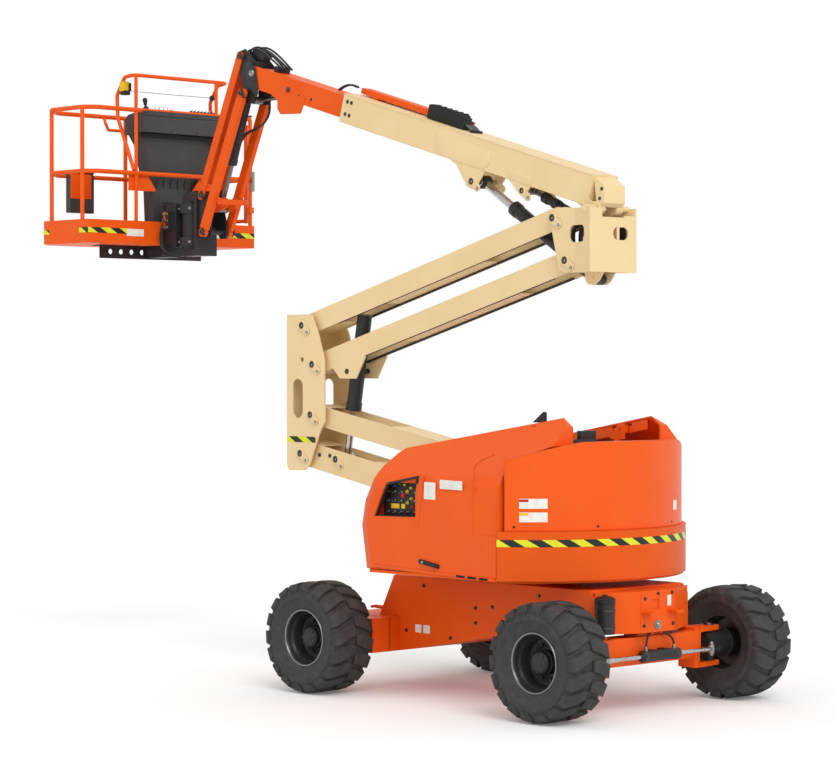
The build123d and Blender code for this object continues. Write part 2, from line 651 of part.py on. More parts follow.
flyEnd = 3900
fly = boom_box(flyTail, flyEnd, flyTop, flyTop + flyDepth, -flyHalfWidth, flyHalfWidth)
fly -= boom_box(flyTail - 5, flyEnd - 12, flyTop + 8, flyTop + flyDepth - 8,
                -flyHalfWidth + 8, flyHalfWidth - 8)
hump = [(-2368, 4435), (-2600, 4446), (-2640, 4490), (-2640, 4640), (-2500, 4700),
        (-2300, 4560)]
fly += slab(hump, -flyHalfWidth - 4, -flyHalfWidth + 8)
nose = [boom_at(3560, 30), boom_at(3880, 30), (-2985, 4850), (-2990, 4770), (-2930, 4750),
        (-2640, 4560)]
fly += both(slab(nose, flyHalfWidth - 12, flyHalfWidth))
fly -= bore(jibHeadPin, 400)
fly -= boom_box(3060, 4200, 60, 500, -flyHalfWidth + 8, flyHalfWidth - 8)
fly -= boom_box(3790, 4200, -100, 500, -flyHalfWidth + 12, flyHalfWidth - 12)
fly += cross(slavePinFly, 14, -flyHalfWidth, flyHalfWidth)
save("fly_boom", fly)

tray = boom_box(1500, 2700, -58, -46, 10, 110)
tray += boom_box(1500, 2700, -58, -14, 104, 110) + boom_box(1500, 2700, -58, -14, 10, 16)
tray += boom_box(1600, 1640, -50, 0, 10, 110) + boom_box(2500, 2540, -50, 0, 10, 110)
save("hose_tray", tray)

# ---- jib ----
headPlate = [
    (-3060, 5010), (-3160, 4990), (-3160, 4900), (-3085, 4700), (-3095, 4600), (-3060, 4560),
    (-2960, 4560), (-2900, 4740), (-2880, 4850),
]
headOutside = 90
linkOutside = 104          # the upper link's side plates run outside the head's
head = both(slab(headPlate, headOutside - plateThickness, headOutside))
head += cross(jibHeadPin, pinRadius, -flyHalfWidth, flyHalfWidth)
head += pin_heads(slavePinHead, 14, headOutside, headOutside + 5)
head += both(cross(jibUpperTop, 20, headOutside - plateThickness, linkOutside + 4))
head += both(cross(jibLowerTop, 20, headOutside - plateThickness, 160))
head += cross(jibCylinderHead, 16, -headOutside, headOutside)
save("jib_head", head)


def tube(start, end, half, depth, centre, wall, eyeRadius, pinSize):
    """Square tube between two pins, with a bored eye at each end."""
    length = distance(start, end)
    outer = Pos(length / 2, 0, -centre) * Box(length - 60, depth, 2 * half)
    inner = Pos(length / 2, 0, -centre) * Box(length, depth - 2 * wall, 2 * (half - wall))
    solid = along(start, end) * (outer - inner)
    for pin in (start, end):
        solid += cross(pin, eyeRadius, centre - half, centre + half)
        solid -= bore(pin, 500, pinSize + pinFit)
    return solid


linkLength = distance(jibUpperTop, jibUpperBottom)
linkHalf = 38              # half the depth of the upper link
webStart = 90              # its web stops short of both pins
upperFrame = along(jibUpperTop, jibUpperBottom)
upperLink = upperFrame * Pos(linkLength / 2, -linkHalf + 3, 0) * Box(
    linkLength - 2 * webStart, 6, 2 * linkOutside)
for side in (-1, 1):
    upperLink += upperFrame * Pos(linkLength / 2, 0, side * (linkOutside - 6)) * Box(
        linkLength, 2 * linkHalf, 12)
for pin in (jibUpperTop, jibUpperBottom):
    upperLink += both(cross(pin, linkHalf, linkOutside - 12, linkOutside))
upperLink -= bore(jibUpperTop, 500, 20 + pinFit) + bore(jibUpperBottom, 500, 20 + pinFit)
save("jib_link_top", upperLink)

tubeCentre = 134
lowerLink = tube(jibLowerTop, jibLowerBottom, 20, 80, -tubeCentre, 5, 38, 20)
lowerLink += tube(jibLowerTop, jibLowerBottom, 20, 80, tubeCentre, 5, 38, 20)
linkFrame = along(jibLowerTop, jibLowerBottom)
tieAt = 912                # down the link
tieOut = 96                # the cross tie stands off behind the link
lowerLink += linkFrame * Pos(tieAt, tieOut, 0) * Box(44, 12, 2 * 154)
rodLug = linkFrame * make_face(Polyline(
    (tieAt - 22, tieOut + 6), (tieAt - 22, 40), (980, -20), (996, -44), (1038, -44),
    (1052, -10), (tieAt + 50, tieOut + 6), close=True))
for side in (-1, 1):
    lowerLink += linkFrame * Pos(tieAt, (tieOut + 20) / 2, side * 120) * Box(44, 90, 12)
    lowerLink += Pos(0, side * 52 - 6, 0) * extrude(rodLug, amount=12, dir=(0, 1, 0))
save("jib_link_bottom", lowerLink)

endPlate = [(-3500, 3480), (-3580, 3480), (-3670, 3600), (-3670, 3880), (-3580, 3890),
            (-3500, 3600)]
jibEnd = both(slab(endPlate, headOutside - plateThickness, headOutside))
jibEnd += cross(jibLowerBottom, 20, -160, 160) + cross(
    jibUpperBottom, 20, -linkOutside - 4, linkOutside + 4)
jibEnd += block(-3700, -3660, -110, 110, 3340, 3880)
rotatorLow = 3400
rotatorHigh = 3800
jibEnd += block(rotateX - 40, -3700, -70, 70, 3340, rotatorLow)
jibEnd += block(rotateX - 40, -3700, -70, 70, rotatorHigh, 3860)
save("jib_end", jibEnd)

cylinder_pair("jib", jibCylinderHead, jibCylinderLink, {
    "foot": 15, "mouth": 760, "start": 420, "barrel": 38, "rod": 19, "basePin": 16,
    "headPin": 16, "headEye": 34, "halfPin": 45.7})
cylinder_pair("slave", slavePinFly, slavePinHead, {
    "foot": 15, "mouth": 500, "start": 270, "barrel": 26, "rod": 14, "basePin": 14,
    "headPin": 14, "headEye": 32, "halfPin": headOutside - plateThickness - 0.3})

hoseRadius = 7
hoses = None
for side in (-1, 1):
    for inset in (0, 32):
        run = pipe([(-2690, side * 50, 4834), (-2770, side * 50, 4900 - inset),
                    (-2900, side * 50, 5010 - inset), (-3010, side * 50, 5030 - inset),
                    (-3040, side * 50, 4945)], hoseRadius, 38)
        hoses = run if hoses is None else hoses + run
hoses += boom_box(3630, 3680, flyTop - 50, flyTop, -62, 62)
save("hose_guide", hoses)

# ---- platform ----
rotatorRadius = 85
rotator = Pos(rotateX, 0, (rotatorLow + rotatorHigh) / 2) * Cylinder(
    rotatorRadius, rotatorHigh - rotatorLow)
save("rotator", rotator)
mount = None
for z in (rotatorLow + 20, rotatorHigh - 100):
    clampRing = Pos(rotateX, 0, z + 40) * (Cylinder(rotatorRadius + 22, 80)
                                           - Cylinder(rotatorRadius + bigFit, 90))
    mount = clampRing if mount is None else mount + clampRing
mount += block(-4000, rotateX - 90, -105, 105, rotatorLow + 20, rotatorHigh - 20)
mount += both(block(platformFront + 14, -3990, 60, 110, toeBoardBottom, rotatorHigh - 20))
mount += block(platformFront, platformFront + 20, -125, 125, toeBoardBottom - 90, 3800)
mount += block(platformFront - 340, platformFront + 10, -60, 60, toeBoardBottom - 100,
               toeBoardBottom)
beamHalf = 550
beamX = platformFront - 300
mount += block(beamX - 8, beamX, -beamHalf, beamHalf, toeBoardBottom - 112, toeBoardBottom)
mount += block(beamX - 100, beamX, -beamHalf, beamHalf, toeBoardBottom - 8, toeBoardBottom)
holePitch = 112
for number in range(9):
    y = -437 + number * holePitch
    mount -= bar((beamX - 20, y, toeBoardBottom - 55), (beamX + 20, y, toeBoardBottom - 55), 22)
save("platform_mount", mount)

farSide = platformFront - platformWidth
half = platformLength / 2
chamfer = 150
plan = [(platformFront, -half), (farSide + chamfer, -half), (farSide, -half + chamfer),
        (farSide, half - chamfer), (farSide + chamfer, half), (platformFront, half)]
floor = level(plan, toeBoardBottom, toeBoardTop)
floor -= level([(platformFront - 6, -half + 6), (farSide + chamfer + 4, -half + 6),
                (farSide + 6, -half + chamfer + 4), (farSide + 6, half - chamfer - 4),
                (farSide + chamfer + 4, half - 6), (platformFront - 6, half - 6)],
               floorTop, toeBoardTop + 5)
save("platform_floor", floor)

railInset = 6 + railRadius + 0.3
nearX = platformFront - railInset
farX = farSide + railInset
endY = half - railInset
bend = chamfer + 50
railLoop = [(nearX, endY), (nearX, -endY + 85), (nearX - 87, -endY), (farX + bend, -endY),
            (farX, -endY + bend), (farX, endY - bend), (farX + bend, endY)]
postPlaces = [(nearX, endY), (nearX - 87, -endY), (farX + bend, -endY), (farX, 60),
              (farX + bend, endY)]
rails = None
for x, y in postPlaces:
    post = bar((x, y, floorTop), (x, y, topRail - 8), railRadius - 1.5)
    rails = post if rails is None else rails + post
for z in (midRail, topRail - 1):
    rails += pipe([(x, y, z) for x, y in railLoop], railRadius, 55)
hoopRadius = 16
hoopTop = 4862
for y in (-380, 492):
    rails += bar((nearX, y, floorTop), (nearX, y, hoopTop - 12), hoopRadius - 1)
hoopSide = [(-216, 4512), (-225, 4700), (-120, 4846), (0, hoopTop - 6)]
hoopPath = [(nearX + 4, -405, midRail + 25)]
hoopPath += [(nearX + x, -405, z) for x, z in hoopSide]
hoopPath += [(nearX + x, 612, z) for x, z in hoopSide[::-1]]
hoopPath += [(nearX + 4, 612, midRail + 25)]
rails += pipe(hoopPath, hoopRadius, 45)
gusset = [(-440, 4030), (-250, 4030), (-160, 3905), (-165, 3890), (-440, 3890)]
rails += across(gusset, nearX - 30, nearX - 14)
rails += across([(82 - y, z) for y, z in gusset][::-1], nearX - 30, nearX - 14)
loopX = farX
rails += pipe([(loopX, -177, topRail), (loopX + 30, -177, topRail - 60),
               (loopX + 30, -150, topRail - 115), (loopX + 30, 80, topRail - 115),
               (loopX + 30, 107, topRail - 60), (loopX, 107, topRail)], 13, 16)
save("platform_rails", rails)

# gate in the far end, turning about the post nearest the jib
gateEnd = farX + bend + 2 * railRadius + 6
gateX = nearX - 34
gate = None
for x in (gateX - 22, gateEnd):
    post = bar((x, endY, toeBoardTop + 25), (x, endY, topRail - 50), railRadius - 1)
    gate = post if gate is None else gate + post
for z in (toeBoardTop + 45, midRail, topRail - 70):
    gate += bar((gateX - 22, endY, z), (gateEnd, endY, z), railRadius - 3)
for z in (toeBoardTop + 110, midRail + 250):
    strap = block(nearX - 50, nearX + 24, endY - 24, endY + 24, z, z + 50)
    gate += strap
gate -= bar((nearX, endY, floorTop), (nearX, endY, topRail + 50), railRadius - 1.5 + pinFit)
save("gate", gate)

boxFront = -4160
console = slab([(boxFront, 4372), (boxFront, 4560), (boxFront - 150, 4530),
                (boxFront - 190, 4500), (boxFront - 190, 4372)], -320, 562)
pedestal = [(4372, -300, 540, 8), (4290, -246, 505, 12), (3990, -178, 402, 24),
            (3970, -160, 385, 30), (floorTop, -140, 330, 34)]
sections = []
for z, y0, y1, inset in pedestal:
    sections.append(make_face(Polyline(
        (boxFront - inset, y0, z), (boxFront - inset, y1, z), (boxFront - 180 + inset, y1, z),
        (boxFront - 180 + inset, y0, z), close=True)))
console += loft(sections, ruled=True)
save("console", console)

docX = farX + railRadius
save("document_box", block(docX, docX + 62, -592, -342, 3722, 4045)
     + block(docX + 10, docX + 52, -592, -342, 4045, 4070))
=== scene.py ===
import bpy
import bmesh
import json
from math import atan2, cos, pi, radians, sin, sqrt
from mathutils import Matrix, Vector


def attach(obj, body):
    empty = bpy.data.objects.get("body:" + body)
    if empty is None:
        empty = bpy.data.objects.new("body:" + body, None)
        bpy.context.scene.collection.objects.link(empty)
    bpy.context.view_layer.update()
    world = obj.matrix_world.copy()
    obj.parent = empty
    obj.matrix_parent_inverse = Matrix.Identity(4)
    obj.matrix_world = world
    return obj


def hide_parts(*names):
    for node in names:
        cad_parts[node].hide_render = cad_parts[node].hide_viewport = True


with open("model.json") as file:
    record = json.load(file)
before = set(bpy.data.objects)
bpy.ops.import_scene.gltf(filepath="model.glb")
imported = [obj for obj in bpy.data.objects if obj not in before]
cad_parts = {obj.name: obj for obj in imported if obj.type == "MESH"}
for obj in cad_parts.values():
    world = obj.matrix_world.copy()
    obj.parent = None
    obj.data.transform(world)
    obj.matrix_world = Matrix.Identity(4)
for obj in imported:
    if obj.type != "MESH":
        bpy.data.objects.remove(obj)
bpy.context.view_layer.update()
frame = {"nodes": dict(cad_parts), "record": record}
nodes = frame["nodes"]
scene = bpy.context.scene
print("frame loaded:", len(nodes), "nodes")


def linear(code, part=1.0):
    # sRGB hex value to the linear colour that a shader takes, darkened to that part of it
    channels = [int(code[i:i + 2], 16) / 255 for i in (0, 2, 4)]
    channels = [c / 12.92 if c <= 0.04045 else ((c + 0.055) / 1.055) ** 2.4 for c in channels]
    return (*[part * c for c in channels], 1.0)


def addNode(tree, kind, values=None):
    # values: an input's name or number, or a setting's name, to a constant, a socket or a node
    made = tree.nodes.new(kind)
    for key, value in (values or {}).items():
        if isinstance(value, bpy.types.Node):
            value = value.outputs[0]
        if isinstance(value, bpy.types.NodeSocket):
            tree.links.new(value, made.inputs[key])
        elif isinstance(key, int) or key in made.inputs:
            made.inputs[key].default_value = value
        else:
            setattr(made, key, value)
    return made


def startMaterial(name):
    material = bpy.data.materials.new(name)
    material.use_nodes = True
    tree = material.node_tree
    tree.nodes.clear()
    return material, tree, addNode(tree, "ShaderNodeTexCoord").outputs["Object"]


def shade(material, values):
    shader = addNode(material.node_tree, "ShaderNodeBsdfPrincipled", values)
    addNode(material.node_tree, "ShaderNodeOutputMaterial", {0: shader})
    return material


def surface(name, colour, layers, gloss, relief=None, edge=0.0, specular=0.5, metallic=0.0):
    # One skin. layers: (size in millimetres, detail, roughness) of a noise, (where its marks
    # begin, where they are full, how strong they get), their colour or the part that they
    # darken to. gloss: a roughness, or the range that the last layer's noise gives it.
    # relief: texture, its inputs, strength and height. edge: rounding in millimetres.
    material, tree, place = startMaterial(name)
    tint = linear(colour)
    for (millimetres, detail, roughness), (low, full, most), other in layers:
        noise = addNode(tree, "ShaderNodeTexNoise", {
            "Vector": place, "Scale": 1000 / millimetres, "Detail": detail,
            "Roughness": roughness})
        marks = addNode(tree, "ShaderNodeMapRange", {0: noise, 1: low, 2: full, 3: 0.0, 4: most})
        other = linear(other) if isinstance(other, str) else linear(colour, other)
        tint = addNode(tree, "ShaderNodeMix", {
            "data_type": "RGBA", 0: marks, 6: tint, 7: other}).outputs[2]
    if isinstance(gloss, tuple):
        gloss = addNode(tree, "ShaderNodeMapRange", {
            0: noise, 1: 0.3, 2: 0.7, 3: gloss[0], 4: gloss[1]})
    values = {"Base Color": tint, "Roughness": gloss, "Specular IOR Level": specular,
              "Metallic": metallic}
    if relief:
        kind, inputs, strength, height = relief
        bump = {"Strength": strength, "Distance": height,
                "Height": addNode(tree, kind, {"Vector": place, **inputs})}
        if edge:
            bump["Normal"] = addNode(tree, "ShaderNodeBevel",
                                     {"samples": 4, "Radius": edge / 1000})
        values["Normal"] = addNode(tree, "ShaderNodeBump", bump)
    return shade(material, values)


def powderCoat(name, look):
    # Powder coat baked on welded steel: smooth, a faint orange peel about 6 mm across,
    # softened edges that catch light, and slightly darker patches a hand wide.
    return surface(name, look["colour"], [
        ((420, 3, 0.5), (0.35, 0.7, 1.0), look["patch"]),
        ((45, 4, 0.6), (0.66, 0.8, look["scuff"]), look["scuffColour"])],
        (look["roughness"] - 0.05, look["roughness"] + 0.07),
        ("ShaderNodeTexNoise", {"Scale": 1000 / 6, "Detail": 1}, 0.05, 0.0006), look["edge"],
        look["specular"])


paintLooks = {
    # colours as sRGB, roughness, rounding of the edges in millimetres
    "orange": {"colour": "F05D12", "patch": "EC5810", "scuff": 0.10, "scuffColour": "CE4816",
               "roughness": 0.40, "specular": 0.16, "edge": 3.5},
    "cream": {"colour": "EFD5A4", "patch": "EBCF9C", "scuff": 0.10, "scuffColour": "D8BC8C",
              "roughness": 0.45, "specular": 0.25, "edge": 3.0},
    "black": {"colour": "2B2B2C", "patch": "242425", "scuff": 0.25, "scuffColour": "3A3A3A",
              "roughness": 0.4, "specular": 0.4, "edge": 2.5},
    "shell": {"colour": "F05D12", "patch": "EC5810", "scuff": 0.06, "scuffColour": "CE4816",
              "roughness": 0.33, "specular": 0.22, "edge": 16.0},
    "weight": {"colour": "E4590F", "patch": "E0560E", "scuff": 0.10, "scuffColour": "C84A14",
               "roughness": 0.40, "specular": 0.16, "edge": 9.0},
    "rim": {"colour": "313132", "patch": "2A2A2C", "scuff": 0.3, "scuffColour": "454545",
            "roughness": 0.3, "specular": 0.6, "edge": 2.5},
}
orangePaint = powderCoat("orange_powder_coat", paintLooks["orange"])
shellPaint = powderCoat("orange_gelcoat_shell", paintLooks["shell"])
weightPaint = powderCoat("orange_paint_on_cast_iron", paintLooks["weight"])
creamPaint = powderCoat("cream_powder_coat", paintLooks["cream"])
blackPaint = powderCoat("black_powder_coat", paintLooks["black"])
rimPaint = powderCoat("dark_grey_wheel_enamel", paintLooks["rim"])


def mouldedPlastic(name, colour, grain, roughness):
    # Rotomoulded polyethylene: a pebbled grain from the mould, dull, a little mottled.
    return surface(name, colour, [((120, 3, 0.5), (0.35, 0.7, 0.6), 0.78)], roughness,
                   ("ShaderNodeTexVoronoi", {"Scale": 1000 / grain}, 0.25, 0.0008), 4.0, 0.4)


greyPlastic = mouldedPlastic("dark_grey_moulded_plastic", "414141", 5, 0.55)
blackPlastic = mouldedPlastic("black_moulded_plastic", "1E1E1F", 4, 0.5)

# Carbon black rubber, cured in a mould: dull, greyish, with dust in the pores.
rubber = surface("cured_tyre_rubber", "373737", [((60, 5, 0.65), (0.4, 0.75, 1.0), "4A4947")],
                 (0.62, 0.82), ("ShaderNodeTexNoise", {
                     "Scale": 1000 / 7, "Detail": 3, "Roughness": 0.7}, 0.3, 0.001), 4.0, 0.35)


def steel(name, colour, roughness, grain):
    # Bare or plated steel: fine turned grain seen as small changes in gloss.
    return surface(name, colour, [((grain, 4, 0.6), (0.4, 0.75, 0.8), 0.72)],
                   (roughness * 0.8, roughness * 1.25), metallic=1.0)


chromeRod = steel("hard_chromed_rod", "C9C9CB", 0.16, 20)
zincSteel = steel("zinc_plated_steel", "A8A7A2", 0.34, 6)
bareRod = steel("ground_steel_rod", "8B8A88", 0.3, 15)
# a bright bare-steel ring for the rim's lip: painted highlight along it
rimEdgeHighlight = steel("rim_edge_painted_highlight", "8E8E90", 0.3, 9)
darkSteel = steel("phosphated_steel", "5A5958", 0.42, 8)
brass = steel("brass_fitting", "B59A55", 0.35, 6)


def softSkin(name, colour, roughness, grain, strength):
    # Extruded or moulded skin, such as hose cover, boot or printed film.
    return surface(name, colour, [((grain * 6, 3, 0.5), (0.45, 0.8, 0.7), 0.7)], roughness,
                   ("ShaderNodeTexNoise", {"Scale": 1000 / grain, "Detail": 2}, strength, 0.0005))


hoseRubber = softSkin("hydraulic_hose_cover", "232324", 0.5, 3, 0.3)
greyHose = softSkin("grey_cable_sheath", "5C5C5E", 0.5, 3, 0.2)
bootRubber = softSkin("moulded_rubber_boot", "1B1B1B", 0.65, 4, 0.3)
whiteFilm = softSkin("white_vinyl_film", "EDEBE6", 0.4, 8, 0.05)
yellowFilm = softSkin("yellow_vinyl_film", "E8C21A", 0.4, 8, 0.05)
redPlastic = softSkin("red_button_plastic", "C21414", 0.3, 5, 0.05)
yellowPlastic = softSkin("yellow_button_plastic", "E6C200", 0.35, 5, 0.05)
greenPlastic = softSkin("green_button_plastic", "1F8A2E", 0.35, 5, 0.05)
bluePlastic = softSkin("blue_button_plastic", "2B5FB0", 0.35, 5, 0.05)
# painted shade: a near-black skin put in holes, slots and gaps where only shade falls
paintedShadeBlack = softSkin("painted_shade_black", "0E0E0E", 0.8, 10, 0.1)

tapeLook = {"pitch": 0.20, "lean": 1.7, "yellow": "E2E413", "worn": "C9C81C", "black": "161616",
            "grain": 40}


def hazardTape():
    # Printed vinyl tape in slanted stripes; the strips carry lengths in their UV.
    material, tree, place = startMaterial("hazard_striped_vinyl")
    uv = addNode(tree, "ShaderNodeTexCoord").outputs["UV"]
    split = addNode(tree, "ShaderNodeSeparateXYZ", {0: uv})
    lean = addNode(tree, "ShaderNodeMath",
                   {"operation": "MULTIPLY", 0: split.outputs[1], 1: tapeLook["lean"]})
    slant = addNode(tree, "ShaderNodeMath", {"operation": "ADD", 0: split, 1: lean})
    turns = addNode(tree, "ShaderNodeMath",
                    {"operation": "MULTIPLY", 0: slant, 1: 1 / tapeLook["pitch"]})
    part = addNode(tree, "ShaderNodeMath", {"operation": "FRACT", 0: turns})
    tint = addNode(tree, "ShaderNodeMath", {"operation": "GREATER_THAN", 0: part, 1: 0.5})
    wear = addNode(tree, "ShaderNodeTexNoise",
                   {"Vector": place, "Scale": 1000 / tapeLook["grain"], "Detail": 4})
    worn = addNode(tree, "ShaderNodeMapRange", {0: wear, 1: 0.4, 2: 0.8, 3: 0.0, 4: 0.5})
    yellow = addNode(tree, "ShaderNodeMix", {
        "data_type": "RGBA", 0: worn, 6: linear(tapeLook["yellow"]),
        7: linear(tapeLook["worn"])}).outputs[2]
    striped = addNode(tree, "ShaderNodeMix", {
        "data_type": "RGBA", 0: tint, 6: yellow, 7: linear(tapeLook["black"])}).outputs[2]
    bump = addNode(tree, "ShaderNodeBump", {"Strength": 0.05, "Distance": 0.0005, "Height": wear})
    return shade(material, {"Base Color": striped, "Roughness": 0.35, "Normal": bump})


hazard = hazardTape()

paintOf = {
    "orange_paint": orangePaint, "cream_paint": creamPaint, "black_paint": blackPaint,
    "chrome_rod": chromeRod, "dark_plastic": greyPlastic, "tyre_rubber": rubber,
    "wheel_paint": rimPaint,
}
finishOf = {
    # nodes whose finish differs from their slot's
    "jib_rod": bareRod, "slave_rod": bareRod, "level_rod": bareRod, "hood_right": shellPaint,
    "hood_left": shellPaint, "rear_cover": shellPaint, "counterweight": weightPaint,
}
slotOf = {part["node"]: part["material_slot"] for part in frame["record"]["subparts"]}
for nodeName, nodeObject in nodes.items():
    for materialSlot in nodeObject.material_slots:
        materialSlot.material = finishOf.get(nodeName, paintOf[slotOf[nodeName]])
print("materials made")


def addObject(name, data):
    obj = bpy.data.objects.new(name, data)
    scene.collection.objects.link(obj)
    return obj


def keep(obj, body, material):
    obj.data.materials.clear()
    obj.data.materials.append(material)
    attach(obj, body)
    return obj


def fromBmesh(name, bm):
    bmesh.ops.remove_doubles(bm, verts=bm.verts, dist=1e-6)
    bmesh.ops.recalc_face_normals(bm, faces=bm.faces)
    mesh = bpy.data.meshes.new(name)
    bm.to_mesh(mesh)
    bm.free()
    return addObject(name, mesh)


def sharpen(obj, angle=35):
    # smooth shading with the hard edges kept
    bm = bmesh.new()
    bm.from_mesh(obj.data)
    for edge in bm.edges:
        edge.smooth = len(edge.link_faces) == 2 and edge.calc_face_angle(0) < radians(angle)
    for face in bm.faces:
        face.smooth = True
    bm.to_mesh(obj.data)
    bm.free()
    return obj


def axes(origin, across, up):
    # matrix whose X runs along across, whose Y is near up and whose Z faces out
    x = Vector(across).normalized()
    z = x.cross(Vector(up)).normalized()
    turn = Matrix((x, z.cross(x), z)).transposed().to_4x4()
    return Matrix.Translation(Vector(origin)) @ turn


def boxes(name, places, material, body, bevel=0.002):
    # places: (low corner, high corner) or (low, high, matrix)
    bm = bmesh.new()
    for low, high, *matrix in places:
        verts = bmesh.ops.create_cube(bm, size=1.0)["verts"]
        size = [b - a for a, b in zip(low, high)]
        middle = [(a + b) / 2 for a, b in zip(low, high)]
        for vert in verts:
            vert.co = Vector([c * s + m for c, s, m in zip(vert.co, size, middle)])
        if bevel:
            edges = {edge for vert in verts for edge in vert.link_edges}
            result = bmesh.ops.bevel(bm, geom=list(edges), offset=min(bevel, 0.45 * min(size)),
                                     segments=2, affect="EDGES", profile=0.5)
            verts = ({vert for face in result["faces"] for vert in face.verts}
                     | {vert for vert in verts if vert.is_valid})
        if matrix:
            bmesh.ops.transform(bm, matrix=matrix[0], verts=list(verts))
    return keep(sharpen(fromBmesh(name, bm)), body, material)


def turned(bm, profile, matrix, segments):
    # profile: (radius, height) points turned about the matrix's Z
    rings = []
    for index in range(segments):
        angle = 2 * pi * index / segments
        rings.append([bm.verts.new(matrix @ Vector((radius * cos(angle), radius * sin(angle),
                                                    height))) for radius, height in profile])
    for here, there in zip(rings, rings[1:] + rings[:1]):
        for step in range(len(profile) - 1):
            bm.faces.new((here[step], there[step], there[step + 1], here[step + 1]))


def turnedPiece(name, profile, places, material, body, segments=32):
    bm = bmesh.new()
    for place in places:
        turned(bm, profile, place, segments)
    bmesh.ops.remove_doubles(bm, verts=bm.verts, dist=1e-5)
    dead = [face for face in bm.faces if face.calc_area() < 1e-10]
    bmesh.ops.delete(bm, geom=dead, context="FACES")
    return keep(sharpen(fromBmesh(name, bm)), body, material)


def plate(name, outline, thickness, places, material, body, bevel=0.0015):
    # outline: (x, y) points of a flat plate, its back on the matrix's XY plane
    bm = bmesh.new()
    for place in places:
        back, front = [[bm.verts.new(place @ Vector((x, y, height))) for x, y in outline]
                       for height in (0, thickness)]
        top = bm.faces.new(front)
        bm.faces.new(back[::-1])
        for index in range(len(outline)):
            after = (index + 1) % len(outline)
            bm.faces.new((back[index], back[after], front[after], front[index]))
        if bevel:
            bmesh.ops.bevel(bm, geom=list(top.edges), offset=bevel, segments=2,
                            affect="EDGES", profile=0.5)
    return keep(sharpen(fromBmesh(name, bm)), body, material)


def roundedOutline(width, height, radius, steps=6):
    points = []
    for cx, cy, begin in ((1, 1, 0), (-1, 1, 90), (-1, -1, 180), (1, -1, 270)):
        for step in range(steps + 1):
            angle = radians(begin + 90 * step / steps)
            points.append((cx * (width / 2 - radius) + radius * cos(angle),
                           cy * (height / 2 - radius) + radius * sin(angle)))
    return points


def tube(name, routes, radius, material, body, rings=10):
    # smooth tubes that follow routes of control points
    curve = bpy.data.curves.new(name, "CURVE")
    curve.dimensions = "3D"
    curve.bevel_depth = radius
    curve.bevel_resolution = 3
    curve.use_fill_caps = True
    for route in routes:
        spline = curve.splines.new("NURBS")
        spline.points.add(len(route) - 1)
        for point, spot in zip(spline.points, route):
            point.co = (*spot, 1.0)
        spline.order_u = 3
        spline.use_endpoint_u = True
        spline.resolution_u = rings
    carrier = addObject(name + "_line", curve)
    depsgraph = bpy.context.evaluated_depsgraph_get()
    mesh = bpy.data.meshes.new_from_object(carrier.evaluated_get(depsgraph))
    bpy.data.objects.remove(carrier)
    mesh.name = name
    for face in mesh.polygons:
        face.use_smooth = True
    return keep(addObject(name, mesh), body, material)


def strip(name, lines, height, body, material=None):
    # tape laid along lines of (point, way out) pairs; UV holds metres along and across
    bm = bmesh.new()
    uvLayer = bm.loops.layers.uv.new("tape")
    up = Vector((0, 0, height))
    for line in lines:
        run = 0.0
        columns = []
        for index, (point, out) in enumerate(line):
            point = Vector(point)
            if index:
                run += (point - Vector(line[index - 1][0])).length
            lift = Vector(out).normalized() * 0.0012
            columns.append((run, [bm.verts.new(point), bm.verts.new(point + lift),
                                  bm.verts.new(point + up + lift), bm.verts.new(point + up)]))
        for (runA, a), (runB, b) in zip(columns, columns[1:]):
            for k, (low, high) in enumerate(((0, 0), (0, height), (height, height))):
                face = bm.faces.new((a[k], b[k], b[k + 1], a[k + 1]))
                for loop, u, v in zip(face.loops, (runA, runB, runB, runA),
                                      (low, low, high, high)):
                    loop[uvLayer].uv = (u, v)
            back = bm.faces.new((a[3], b[3], b[0], a[0]))
            for loop in back.loops:
                loop[uvLayer].uv = (0, 0)
        for run, ends in (columns[0], columns[-1]):
            bm.faces.new(ends)
    return keep(fromBmesh(name, bm), body, material or hazard)


def startTree(name, meshName, sizes, finish):
    # a tree that takes a mesh, named sizes and a finish, and gives one mesh
    tree = bpy.data.node_groups.new(name, "GeometryNodeTree")
    face = tree.interface
    face.new_socket(meshName, in_out="INPUT", socket_type="NodeSocketGeometry")
    for label, value in sizes.items():
        kind = "NodeSocketInt" if isinstance(value, int) else "NodeSocketFloat"
        face.new_socket(label, in_out="INPUT", socket_type=kind).default_value = value
    face.new_socket(finish, in_out="INPUT", socket_type="NodeSocketMaterial")
    face.new_socket("Made", in_out="OUTPUT", socket_type="NodeSocketGeometry")
    return tree, addNode(tree, "NodeGroupInput").outputs


def setOnPoints(tree, points, piece, turn, finish):
    # the piece stands on each point, is made real and painted
    spread = addNode(tree, "GeometryNodeInstanceOnPoints",
                     {"Points": points, "Instance": piece, "Rotation": turn})
    real = addNode(tree, "GeometryNodeRealizeInstances", {0: spread})
    painted = addNode(tree, "GeometryNodeSetMaterial", {0: real, "Material": finish})
    addNode(tree, "NodeGroupOutput", {0: painted})
    return tree


